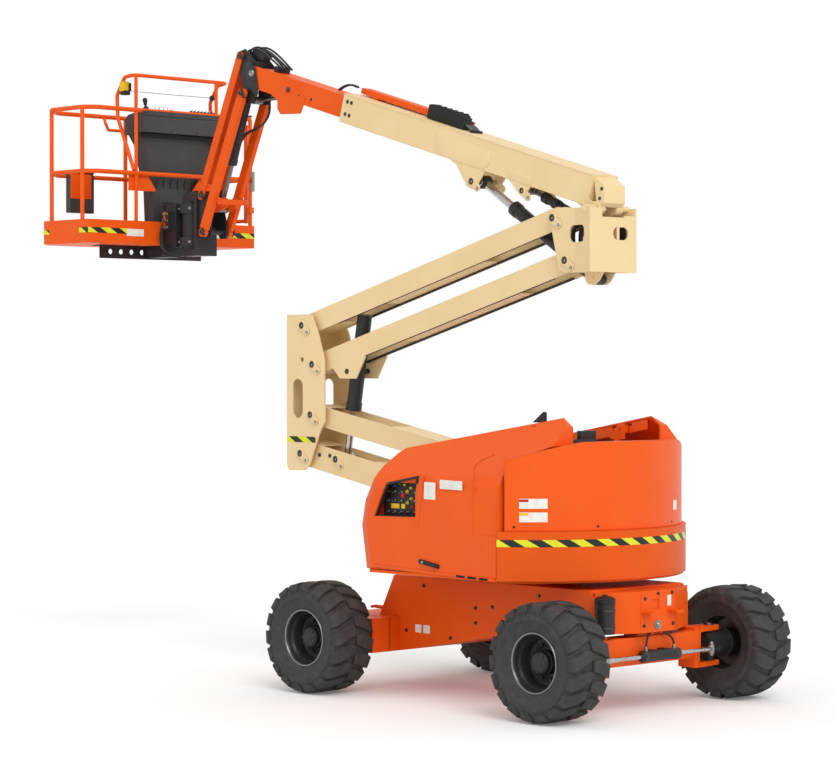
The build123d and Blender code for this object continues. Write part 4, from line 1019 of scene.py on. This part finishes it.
def arcStrip(name, radius, first, last, z0, z1, body, material, proud, steps):
    line = []
    for index in range(steps + 1):
        angle = radians(first + (last - first) * index / steps)
        line.append((onArc(radius, angle, z0, proud), (cos(angle), sin(angle), 0)))
    return strip(name, [line], z1 - z0, body, material)


sideEnd = atan2(tail["half"], sqrt(tail["weight"] ** 2 - tail["half"] ** 2))
tapeLine = [((x, -0.9806, tail["tapeZ"]), (0, -1, 0)) for x in (0.6665, 0.6675)]
for index in range(tail["tapeSteps"] + 1):
    angle = -sideEnd + 2 * sideEnd * index / tail["tapeSteps"]
    tapeLine.append((onArc(tail["weight"], angle, tail["tapeZ"], 0.0006),
                     (cos(angle), sin(angle), 0)))
tapeLine += [((x, 0.9806, tail["tapeZ"]), (0, 1, 0)) for x in (0.6675, 0.6665)]
strip("counterweight_tape", [tapeLine], tail["tapeHeight"], "turntable")
coverLabels = {
    # first angle, last angle, low z, high z, finish of the band on its upper edge
    "cover_label_upper": (-48.2, -38.4, 1.438, 1.507, redPlastic),
    "cover_label_lower": (-48.2, -38.4, 1.344, 1.412, yellowFilm),
    "cover_label_small": (21.5, 25.5, 1.392, 1.462, None),
}
for labelName, (first, last, z0, z1, finish) in coverLabels.items():
    arcStrip(labelName, tail["cover"], first, last, z0, z1, "turntable", whiteFilm, 0.0006, 6)
    if finish:
        arcStrip(labelName + "_band", tail["cover"], first, first + 3.2, z1 - 0.022, z1 - 0.004,
                 "turntable", finish, 0.0018, 3)
fasteners("cover_bolts", "turntable",
          [((tail["cover"] * cos(a), tail["cover"] * sin(a), 1.31), (cos(a), sin(a), 0))
           for a in (radians(degrees) for degrees in (-50, -20, 20, 50))],
          0.007, blackPaint, sides=16, height=0.4)
print("turntable dressed")

# a black marker fin near the right hood's ridge
plate("ridge_fin", [(-0.058, 0.0), (0.058, 0.0), (0.058, 0.072), (0.046, 0.076)], 0.030,
      [axes((0.586, -0.445, 2.028), (1, 0, 0), (0, 0, 1))], blackPlastic, "hood_right", 0.004)
# near-black sheet on the far side plate's inner face: painted shade seen through the near side's
# hole
knuckleShadeSheet = {"x": (0.645, 0.860), "z": (3.125, 3.425), "y": 0.147}
boxes("knuckle_painted_shade", [((knuckleShadeSheet["x"][0], knuckleShadeSheet["y"], knuckleShadeSheet["z"][0]),
                          (knuckleShadeSheet["x"][1], knuckleShadeSheet["y"] + 0.004, knuckleShadeSheet["z"][1]))],
      paintedShadeBlack, "knuckle", 0.0)
knuckleHose = {
    # (x, z) up the knuckle, shifts of the two rows, places across
    "way": ((0.505, 3.225), (0.490, 3.300), (0.485, 3.380), (0.500, 3.430), (0.530, 3.455)),
    "rows": (0.0, 0.075), "across": (-0.078, -0.054, 0.054, 0.078, 0.102),
}
tube("knuckle_hoses", [[(x - y + row, y, z) for x, z in knuckleHose["way"]]
                       for row in knuckleHose["rows"] for y in knuckleHose["across"]],
     0.0115, hoseRubber, "knuckle")
print("ridge and knuckle dressed")

sideBolts("side_plate_bolts", "chassis", boltSpots["chassis"], 0.5004, 0.011)
for labelName, x0, x1 in (("chassis_label_left", -0.640, -0.575),
                          ("chassis_label_right", -0.555, -0.485)):
    sticker(labelName, ((x0 + x1) / 2, -0.5002, 0.480), (1, 0, 0), x1 - x0, 0.060, "chassis")
sticker("end_plate_label", (1.3002, 0.118, 0.775), (0, 1, 0), 0.040, 0.075, "chassis")
endBolts = [(-0.140, 0.800), (0.150, 0.830), (-0.150, 0.610), (0.160, 0.610), (0.0, 0.830)]
fasteners("end_plate_bolts", "chassis", [((1.3004, y, z), (1, 0, 0)) for y, z in endBolts],
          0.010, darkSteel)
# near-black sheet behind the end plate's opening: painted shade inside it
boxes("end_plate_painted_shade", [((1.2840, -0.075, 0.705), (1.2875, 0.025, 0.805))], paintedShadeBlack,
      "chassis", 0.0)
weld("chassis_seams", [[(1.301, side * 0.184, z) for z in (0.565, 0.70, 0.848)]
                       for side in (-1, 1)], "chassis", orangePaint)

canister = {"foot": (1.245, -0.500, 0.575), "radius": 0.070, "bands": (0.035, 0.155)}
canisterFoot = Matrix.Translation(canister["foot"])
turnedPiece("canister_bands", [
    (canister["radius"] + 0.0006, 0.0), (canister["radius"] + 0.004, 0.002),
    (canister["radius"] + 0.004, 0.016), (canister["radius"] + 0.0006, 0.018)],
    [canisterFoot @ Matrix.Translation((0, 0, height)) for height in canister["bands"]],
    darkSteel, "chassis", 40)
turnedPiece("canister_cap", [
    (0.0, 0.274), (0.018, 0.272), (0.020, 0.262), (0.052, 0.258), (0.060, 0.252),
    (0.0735, 0.246), (0.0735, 0.212), (0.0706, 0.208), (0.0, 0.208)], [canisterFoot],
    blackPlastic, "chassis", 40)
tube("canister_hose", [[(1.245, -0.43, 0.80), (1.245, -0.40, 0.81), (1.20, -0.37, 0.78),
                        (1.10, -0.40, 0.70), (1.04, -0.46, 0.62)]], 0.011, hoseRubber, "chassis")

steering = {"x": 1.316, "z": 0.398, "half": 0.185, "eye": 0.566, "port": 0.150}
kingPin = {"x": 1.17, "y": 0.7055, "top": 0.552, "bolts": (0.6, 2.5, 3.8, 5.6)}
hub = {"y": 0.846, "z": 0.415, "circle": 0.105, "bolts": 12}
glandProfile = [(0.0168, -0.002), (0.0168, 0.014), (0.026, 0.014), (0.030, 0.010),
                (0.041, 0.006), (0.0425, -0.002), (0.0425, -0.030), (0.0402, -0.032)]
eyePinProfile = [(0.0, 0.092), (0.012, 0.090), (0.015, 0.084), (0.015, 0.072), (0.024, 0.070),
                 (0.024, 0.012), (0.015, 0.010), (0.015, -0.004), (0.012, -0.008),
                 (0.0, -0.008)]
portProfile = [(0.0, 0.030), (0.009, 0.030), (0.011, 0.026), (0.011, 0.012), (0.015, 0.010),
               (0.015, -0.006), (0.0, -0.006)]
kingPinProfile = [(0.0, 0.022), (0.020, 0.021), (0.032, 0.016), (0.036, 0.008),
                  (0.036, 0.0015), (0.024, 0.0015)]
flangeProfile = [(0.0975, -0.006), (0.112, -0.004), (0.114, 0.0), (0.114, 0.012),
                 (0.110, 0.016), (0.0975, 0.018)]
steerHose = [(0.0, 0.150, 0.040), (0.004, 0.152, 0.085), (-0.010, 0.120, 0.130),
             (-0.040, 0.070, 0.155), (-0.060, 0.020, 0.175)]
hubHose = [(1.11, 0.66, 0.43, 0), (1.04, 0.63, 0.52, 1), (1.02, 0.54, 0.60, 1),
           (1.05, 0.42, 0.60, 1), (1.07, 0.34, 0.58, 1)]


def steerDress(side, label):
    # cylinder end, rod eye, hoses, king pin and hub flange of one side
    x, z = steering["x"], steering["z"]
    turnedPiece("steer_gland_" + label, glandProfile,
                [outwardAt((x, side * steering["half"], z), side)], darkSteel, "chassis", 36)
    turnedPiece("steer_eye_pin_" + label, eyePinProfile,
                [Matrix.Translation((x, side * steering["eye"], z - 0.040))], zincSteel,
                "steer_rod", 24)
    tube("steer_hose_" + label, [[(x + dx, side * y, z + dz) for dx, y, dz in steerHose]],
         0.008, hoseRubber, "chassis")
    turnedPiece("steer_port_" + label, portProfile,
                [Matrix.Translation((x, side * steering["port"], z + 0.038))], zincSteel,
                "chassis", 12)
    pinX, pinY, top = kingPin["x"], side * kingPin["y"], kingPin["top"]
    turnedPiece("king_pin_cap_" + label, kingPinProfile, [Matrix.Translation((pinX, pinY, top))],
                darkSteel, "chassis", 28)
    fasteners("king_pin_bolts_" + label, "chassis", [
        ((pinX + 0.050 * cos(a), pinY + 0.044 * sin(a), top + 0.0004), (0, 0, 1))
        for a in kingPin["bolts"]], 0.007, zincSteel)
    hubFace = outwardAt((pinX, side * hub["y"], hub["z"]), side)
    turnedPiece("hub_flange_" + label, flangeProfile, [hubFace], blackPaint,
                "knuckle_" + label, 56)
    turns = [2 * pi * number / hub["bolts"] for number in range(hub["bolts"])]
    fasteners("hub_flange_bolts_" + label, "knuckle_" + label, [
        (hubFace @ Vector((hub["circle"] * cos(a), hub["circle"] * sin(a), -0.005)),
         (0, -side, 0)) for a in turns], 0.006, darkSteel)
    tube("hub_hoses_" + label, [[(x, side * y, z + rise * above) for x, y, z, above in hubHose]
                                for rise in (0.0, 0.022)], 0.008, hoseRubber, "chassis")


for side, label in bothSides:
    steerDress(side, label)
turnedPiece("axle_pivot_pin", [
    (0.0, 0.020), (0.016, 0.019), (0.020, 0.014), (0.020, 0.006), (0.034, 0.005),
    (0.036, 0.0), (0.036, -0.006), (0.0, -0.006)],
    [Matrix.Translation((1.301, -0.006, 0.610)) @ Matrix.Rotation(pi / 2, 4, "Y")],
    zincSteel, "chassis", 28)
boxes("rear_tube_plates", [((-1.36, side * 0.60 - 0.006, 0.300),
                            (-0.81, side * 0.60 + 0.006, 0.558)) for side in (-1, 1)],
      orangePaint, "chassis", 0.003)
print("chassis and steering dressed")

jibPins = {
    # place (x, z): the body that the head rides on, half width under the head
    "jib_upper_top": ((-3.115, 4.955), "jib_head", 0.108),
    "jib_upper_bottom": ((-3.615, 3.840), "jib_end", 0.108),
    "jib_lower_top": ((-3.040, 4.645), "jib_head", 0.160),
    "jib_lower_bottom": ((-3.540, 3.530), "jib_end", 0.160),
}
jibPin = {"radius": 0.020, "tab": (0.030, 0.074, 0.012), "tabOut": 0.026, "tabTurn": 0.5}
for pinName, ((x, z), body, half) in jibPins.items():
    for side, label in bothSides:
        outward = outwardAt((x, side * half, z), side)
        turnedPiece("pin_%s_%s" % (pinName, label), [
            (0.0, 0.003), (0.006, 0.003), (0.007, 0.008), (jibPin["radius"] * 0.85, 0.009),
            (jibPin["radius"] + 0.001, 0.005), (jibPin["radius"] + 0.001, 0.001),
            (0.0, 0.001)], [outward], darkSteel, body, 24)
        plate("retainer_%s_%s" % (pinName, label), roundedOutline(*jibPin["tab"]), 0.005,
              [outward @ Matrix.Translation((jibPin["tabOut"], 0, 0.0005))
               @ Matrix.Rotation(jibPin["tabTurn"], 4, "Z")], blackPaint, body, 0.001)

# black cheeks that stand outside the fly's nose
sidePlates("head_cheek_", [(-3.005, 4.700), (-2.884, 4.600), (-2.868, 4.640), (-2.905, 4.845),
                           (-2.975, 4.905), (-3.020, 4.880)], 0.008, 0.1115, blackPaint,
           "jib_head", 0.003)
for side, label in bothSides:
    turnedPiece("head_pivot_" + label, [
        (0.030, -0.002), (0.030, 0.016), (0.026, 0.022), (0.014, 0.024), (0.010, 0.018),
        (0.0, 0.018)], [outwardAt((-2.945, side * 0.105, 4.800), side)], zincSteel,
        "jib_head", 28)
plate("head_hose_cover", [(-3.045, 4.985), (-2.990, 5.012), (-2.915, 4.990), (-2.865, 4.948),
                          (-2.905, 4.905), (-3.040, 4.915)], 0.086,
      [axes((0, 0.043, 0), (1, 0, 0), (0, 0, 1))], blackPaint, "fly_boom", 0.006)

headHose = {
    # (x, z) over the nose and how much of a hose's rise each point takes
    "way": ((-2.640, 4.815, 0), (-2.740, 4.880, 1), (-2.860, 4.965, 1), (-2.960, 5.008, 1),
            (-3.050, 5.003, 1), (-3.080, 4.985, 0), (-3.082, 4.950, 0)),
    "hoses": ((-0.050, 0.0), (-0.022, 0.016), (0.022, 0.004), (0.050, 0.018)),
}
arcs = tube("head_hoses", [[(x, offset, z + rise * share) for x, z, share in headHose["way"]]
                           for offset, rise in headHose["hoses"]], 0.0085, hoseRubber,
            "fly_boom")
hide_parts("hose_guide")
boxes("head_hose_saddle", [((-0.025, -0.066, 0.0), (0.025, 0.066, 0.048),
                            boomPlace(3.655, 0.026, 0))], blackPlastic, "fly_boom", 0.004)
tube("jib_loop_hoses", [[(-2.930 - k, y, 4.640), (-2.905 - k, y, 4.540),
                         (-2.940 - k, y, 4.440), (-3.040 - k, y, 4.375),
                         (-3.220, y, 4.345), (-3.300, y - 0.01, 4.270),
                         (-3.385, y - 0.02, 4.130)] for k, y in ((0.0, 0.052), (0.030, 0.072))],
     0.0085, hoseRubber, "jib_head")
valve = {"half": (0.030, 0.034, 0.045), "along": 0.640, "above": 0.066}
valvePlace = (cylinderBase("jib") @ Matrix.Translation((0, valve["above"], valve["along"]))
              @ portTurn)
boxes("jib_valve", [([-h for h in valve["half"]], valve["half"], valvePlace)], blackPaint,
      "jib_barrel", 0.003)
turnedPiece("jib_valve_cartridges", [
    (0.0, 0.042), (0.007, 0.042), (0.008, 0.036), (0.012, 0.034), (0.012, 0.016),
    (0.016, 0.014), (0.016, 0.0), (0.0, 0.0)],
    [valvePlace @ Matrix.Translation((dx, valve["half"][1], 0.01))
     @ Matrix.Rotation(-pi / 2, 4, "X") for dx in (-0.016, 0.016)],
    zincSteel, "jib_barrel", 12)
print("jib dressed")

toeBoard = {
    # the toe board's right side and its mount side, with the tape's runs on them
    "side": -0.9012, "front": -4.0988, "tape": 3.523, "height": 0.044,
    "runs": ((-0.900, -0.500), (0.610, 0.900)),
}
strip("toe_board_tape",
      [[((x, toeBoard["side"], toeBoard["tape"]), (0, -1, 0)) for x in (-4.220, -4.0995)]]
      + [[((toeBoard["front"], y, toeBoard["tape"]), (1, 0, 0)) for y in run]
         for run in toeBoard["runs"]], toeBoard["height"], "platform")
strip("toe_board_tape_short", [[((x, toeBoard["side"], 3.520), (0, -1, 0))
                                for x in (-4.716, -4.630)]], 0.038, "platform")
for labelName, y0, y1, z0, z1 in (("toe_label_left", -0.500, -0.320, 3.505, 3.565),
                                  ("toe_label_right", 0.400, 0.590, 3.515, 3.552)):
    sticker(labelName, (-4.0999, (y0 + y1) / 2, (z0 + z1) / 2), (0, 1, 0), y1 - y0, z1 - z0,
            "platform")

treadLook = {"pitch": 0.040, "length": 0.026, "height": 0.0016, "slimness": 0.26,
             "floor": 3.4757, "x": (-4.830, -4.120), "y": (-0.870, 0.870), "corner": 0.165}


def treadTree():
    # raised lozenges, turned as their points say
    tree, given = startTree("floor_tread", "Spots", {
        "Lozenge Length": treadLook["length"], "Height": treadLook["height"]}, "Finish")
    narrow = addNode(tree, "ShaderNodeMath", {
        "operation": "MULTIPLY", 0: given["Lozenge Length"], 1: treadLook["slimness"]})
    size = addNode(tree, "ShaderNodeCombineXYZ",
                   {"X": given["Lozenge Length"], "Y": narrow, "Z": given["Height"]})
    bar = addNode(tree, "GeometryNodeMeshCube", {"Size": size})
    spin = addNode(tree, "GeometryNodeInputNamedAttribute", {"data_type": "FLOAT", "Name": "spin"})
    turn = addNode(tree, "ShaderNodeCombineXYZ", {"Z": spin})
    return setOnPoints(tree, given["Spots"], bar, turn, given["Finish"])


def floorTread():
    # rows of lozenges at right angles to one another, with the floor's cut corners left bare
    (x0, x1), (y0, y1) = treadLook["x"], treadLook["y"]
    pitch = treadLook["pitch"]
    spots, spins = [], []
    for i in range(int((x1 - x0) / pitch) + 1):
        for j in range(int((y1 - y0) / pitch) + 1):
            x, y = x0 + i * pitch, y0 + j * pitch
            if (x - x0) + (y1 - abs(y)) > treadLook["corner"]:
                spots.append((x, y, treadLook["floor"]))
                spins.append(pi / 4 if (i + j) % 2 else -pi / 4)
    tread = markedPoints("floor_tread", spots, "spin", "FLOAT", spins)
    applyTree(tread, treadTree(), {"Lozenge Length": treadLook["length"],
                                   "Height": treadLook["height"], "Finish": blackPaint})
    keep(tread, "platform", blackPaint)


floorTread()

# console: lid, painted shade in the gap under it, panel with its switches, joystick and stop button
lid = [(-4.3515, 4.5050), (-4.310, 4.5380), (-4.110, 4.5710), (-4.103, 4.5620),
       (-4.103, 4.3860), (-4.3515, 4.3705)]
plate("console_lid", [(-x, z) for x, z in lid], 0.885,
      [axes((0, -0.3215, 0), (-1, 0, 0), (0, 0, 1))], greyPlastic, "platform", 0.006)
# near-black strip under the lid's front edge: painted shade in the gap
boxes("console_lid_gap_shade", [((-4.1900, -0.2950, 4.3480), (-4.1300, 0.5350, 4.3740))], paintedShadeBlack,
      "platform", 0.0)
deck = {"front": (-4.110, 4.5715), "back": (-4.310, 4.5385), "panel": 0.0012}
deckSlope = Vector((deck["back"][0] - deck["front"][0], 0,
                    deck["back"][1] - deck["front"][1])).normalized()
deckUp = Vector((deckSlope.z, 0, -deckSlope.x))
acrossDeck = Vector((0, 1, 0))
deckTurn = Matrix((acrossDeck, deckUp.cross(acrossDeck), deckUp)).transposed().to_4x4()


def deckPlace(inward, y, lift=deck["panel"]):
    # a frame on the console's sloped top: X across the platform, Z up from the deck
    spot = Vector((deck["front"][0], y, deck["front"][1])) + deckSlope * inward + deckUp * lift
    return Matrix.Translation(spot) @ deckTurn


boxes("console_panel", [((-0.425, -0.060, -0.002), (0.425, 0.062, 0.0012),
                         deckPlace(0.075, 0.121, 0.0))], blackPlastic, "platform", 0.002)
switchRows = [
    # distance from the front edge, first place across, pitch, how many
    (0.045, 0.255, 0.038, 7), (0.045, -0.150, 0.045, 4), (0.105, 0.300, 0.060, 4),
]
turnedPiece("console_switches", [
    (0.0, 0.046), (0.003, 0.045), (0.0045, 0.040), (0.003, 0.010), (0.010, 0.008),
    (0.011, 0.0), (0.0, 0.0)], [deckPlace(inward, first + pitch * number)
                                for inward, first, pitch, count in switchRows
                                for number in range(count)], zincSteel, "platform", 12)
boxes("switch_guards", [((-0.003, -0.016, 0.0), (0.003, 0.016, 0.032),
                         deckPlace(0.045, 0.236 + 0.038 * number)) for number in range(8)],
      blackPlastic, "platform", 0.0015)
joystick = deckPlace(0.075, -0.225)
turnedPiece("joystick_boot_0", [
    (0.042, 0.0), (0.040, 0.010), (0.036, 0.014), (0.034, 0.022), (0.028, 0.026),
    (0.027, 0.034), (0.020, 0.038), (0.018, 0.046), (0.009, 0.050), (0.009, 0.060)],
    [joystick], bootRubber, "platform", 28)
turnedPiece("joystick_grip_0", [
    (0.0, 0.122), (0.012, 0.120), (0.019, 0.113), (0.021, 0.102), (0.019, 0.088),
    (0.015, 0.076), (0.014, 0.062), (0.008, 0.056), (0.0, 0.056)], [joystick], blackPlastic,
    "platform", 24)
turnedPiece("console_stop_button", [
    (0.0, 0.034), (0.010, 0.033), (0.019, 0.028), (0.020, 0.022), (0.014, 0.018),
    (0.014, 0.008), (0.024, 0.006), (0.024, 0.0), (0.0, 0.0)], [deckPlace(0.070, 0.040)],
    redPlastic, "platform", 28)
turnedPiece("console_lamps", [
    (0.0, 0.010), (0.006, 0.009), (0.008, 0.005), (0.008, 0.0), (0.0, 0.0)],
    [deckPlace(0.118, -0.235 + 0.042 * number) for number in range(5)], greenPlastic,
    "platform", 16)
boxes("console_lid_rim", [((-4.1036, -0.317, 4.522), (-4.1012, 0.559, 4.528))],
      blackPlastic, "platform", 0.0008)
fasteners("console_screws", "platform",
          [((-4.1028, y, z), (1, 0, 0)) for y in (-0.295, -0.02, 0.26, 0.54)
           for z in (4.402, 4.545)], 0.006, blackPaint, sides=16, height=0.4)
ribRow = {"first": -0.105, "pitch": 0.075, "count": 7, "half": 0.006}
ribPlaces = [ribRow["first"] + number * ribRow["pitch"] for number in range(ribRow["count"])]
boxes("console_foot_ribs", [((-4.1840, y - ribRow["half"], 3.925),
                             (-4.1780, y + ribRow["half"], 4.030)) for y in ribPlaces],
      greyPlastic, "platform", 0.002)
print("platform floor and console dressed")

platformBlocks = {
    # name: (finish, bevel, corners of each block)
    "hoop_sensor": (yellowPlastic, 0.012, [((-4.300, -0.425, 4.725), (-4.240, -0.355, 4.812))]),
    "hoop_sensor_base": (blackPlastic, 0.005, [
        ((-4.294, -0.420, 4.698), (-4.236, -0.352, 4.735)),
        ((-4.246, -0.368, 4.730), (-4.232, -0.343, 4.800))]),
    "document_box_plate": (orangePaint, 0.001, [
        ((-4.7535, -0.592, 3.842), (-4.7505, -0.372, 4.052))]),
    "document_box_lid": (blackPlastic, 0.003, [
        ((-4.8175, -0.5935, 4.058), (-4.7515, -0.3405, 4.072))]),
    "gate_latch": (zincSteel, 0.004, [
        ((-4.106, 0.862, 3.932), (-4.080, 0.890, 4.104)),
        ((-4.112, 0.866, 3.990), (-4.104, 0.886, 4.050))]),
    "mount_manifold": (blackPaint, 0.004, [((-4.045, -0.150, 3.560), (-3.991, -0.106, 3.720))]),
    "mount_orange_tag": (orangePaint, 0.001, [
        ((-4.040, -0.1560, 3.600), (-4.020, -0.1490, 3.715))]),
}
for blockName, (finish, bevel, corners) in platformBlocks.items():
    boxes(blockName, corners, finish, "platform", bevel)
turnedPiece("hoop_bobbin", [
    (0.0, 0.030), (0.020, 0.030), (0.024, 0.026), (0.024, 0.018), (0.014, 0.014),
    (0.014, -0.014), (0.024, -0.018), (0.024, -0.026), (0.020, -0.030), (0.0, -0.030)],
    [Matrix.Translation((-4.267, 0.580, 4.735)) @ outwardRight], blackPlastic, "platform", 24)
tube("hoop_wire", [[(-4.267, -0.350, 4.735), (-4.267, 0.0, 4.7345), (-4.267, 0.30, 4.7345),
                    (-4.267, 0.566, 4.735)]], 0.0022, darkSteel, "platform")
turnedPiece("gate_hinge_caps", [
    (0.0, 0.012), (0.012, 0.011), (0.017, 0.006), (0.018, 0.0), (0.018, -0.003),
    (0.0, -0.003)],
    [Matrix.Translation((-4.125, 0.875, 4.585))], blackPaint, "platform", 20)
print("platform fittings made")

mount = {
    # fittings on the right face, two columns of three, brass after the first four; clamp ring
    "face": -0.150, "columns": (-4.031, -4.005), "rows": (3.585, 3.640, 3.695), "zinc": 4,
    "axle": -3.850, "ring": 0.1072, "ringBolts": (-2.4, -0.9, 0.6, 2.2),
    "rings": (3.460, 3.740),
}
facingRight = [Matrix.Translation((x, mount["face"], z)) @ outwardRight
               for x in mount["columns"] for z in mount["rows"]]
fitting = [(0.0, 0.024), (0.006, 0.024), (0.007, 0.018), (0.011, 0.016), (0.011, 0.004),
           (0.013, 0.0), (0.0, 0.0)]
turnedPiece("mount_fittings", fitting, facingRight[:mount["zinc"]], zincSteel, "platform", 12)
turnedPiece("mount_fittings_brass", fitting, facingRight[mount["zinc"]:], brass, "platform", 12)
mountHoses = []
for number, (x, z) in enumerate(zip(mount["columns"], mount["rows"])):
    sag = 0.02 * number
    mountHoses.append([(x, -0.172, z), (x, -0.190, z - 0.005), (x - 0.004, -0.196, z - 0.060),
                       (x - 0.02, -0.185, 3.46 - sag), (x - 0.05, -0.130, 3.40 - sag),
                       (x - 0.04, -0.060, 3.375)])
tube("mount_hoses", mountHoses, 0.008, hoseRubber, "platform")
fasteners("clamp_ring_bolts", "platform", [
    ((mount["axle"] + mount["ring"] * cos(angle), mount["ring"] * sin(angle), z),
     (cos(angle), sin(angle), 0))
    for z in mount["rings"] for angle in mount["ringBolts"]], 0.009, zincSteel)
turnedPiece("rotator_caps", [
    (0.0, 0.024), (0.016, 0.024), (0.020, 0.020), (0.020, 0.010), (0.052, 0.008),
    (0.056, 0.004), (0.056, 0.0), (0.0, 0.0)],
    [Matrix.Translation((mount["axle"], 0, 3.8605))], darkSteel, "jib_end", 32)
fasteners("mount_plate_bolts", "platform", [((-4.0795, y, z), (1, 0, 0))
                                            for y in (-0.115, 0.115)
                                            for z in (3.38, 3.50, 3.66, 3.77)], 0.010,
          darkSteel)
print("platform mount dressed")
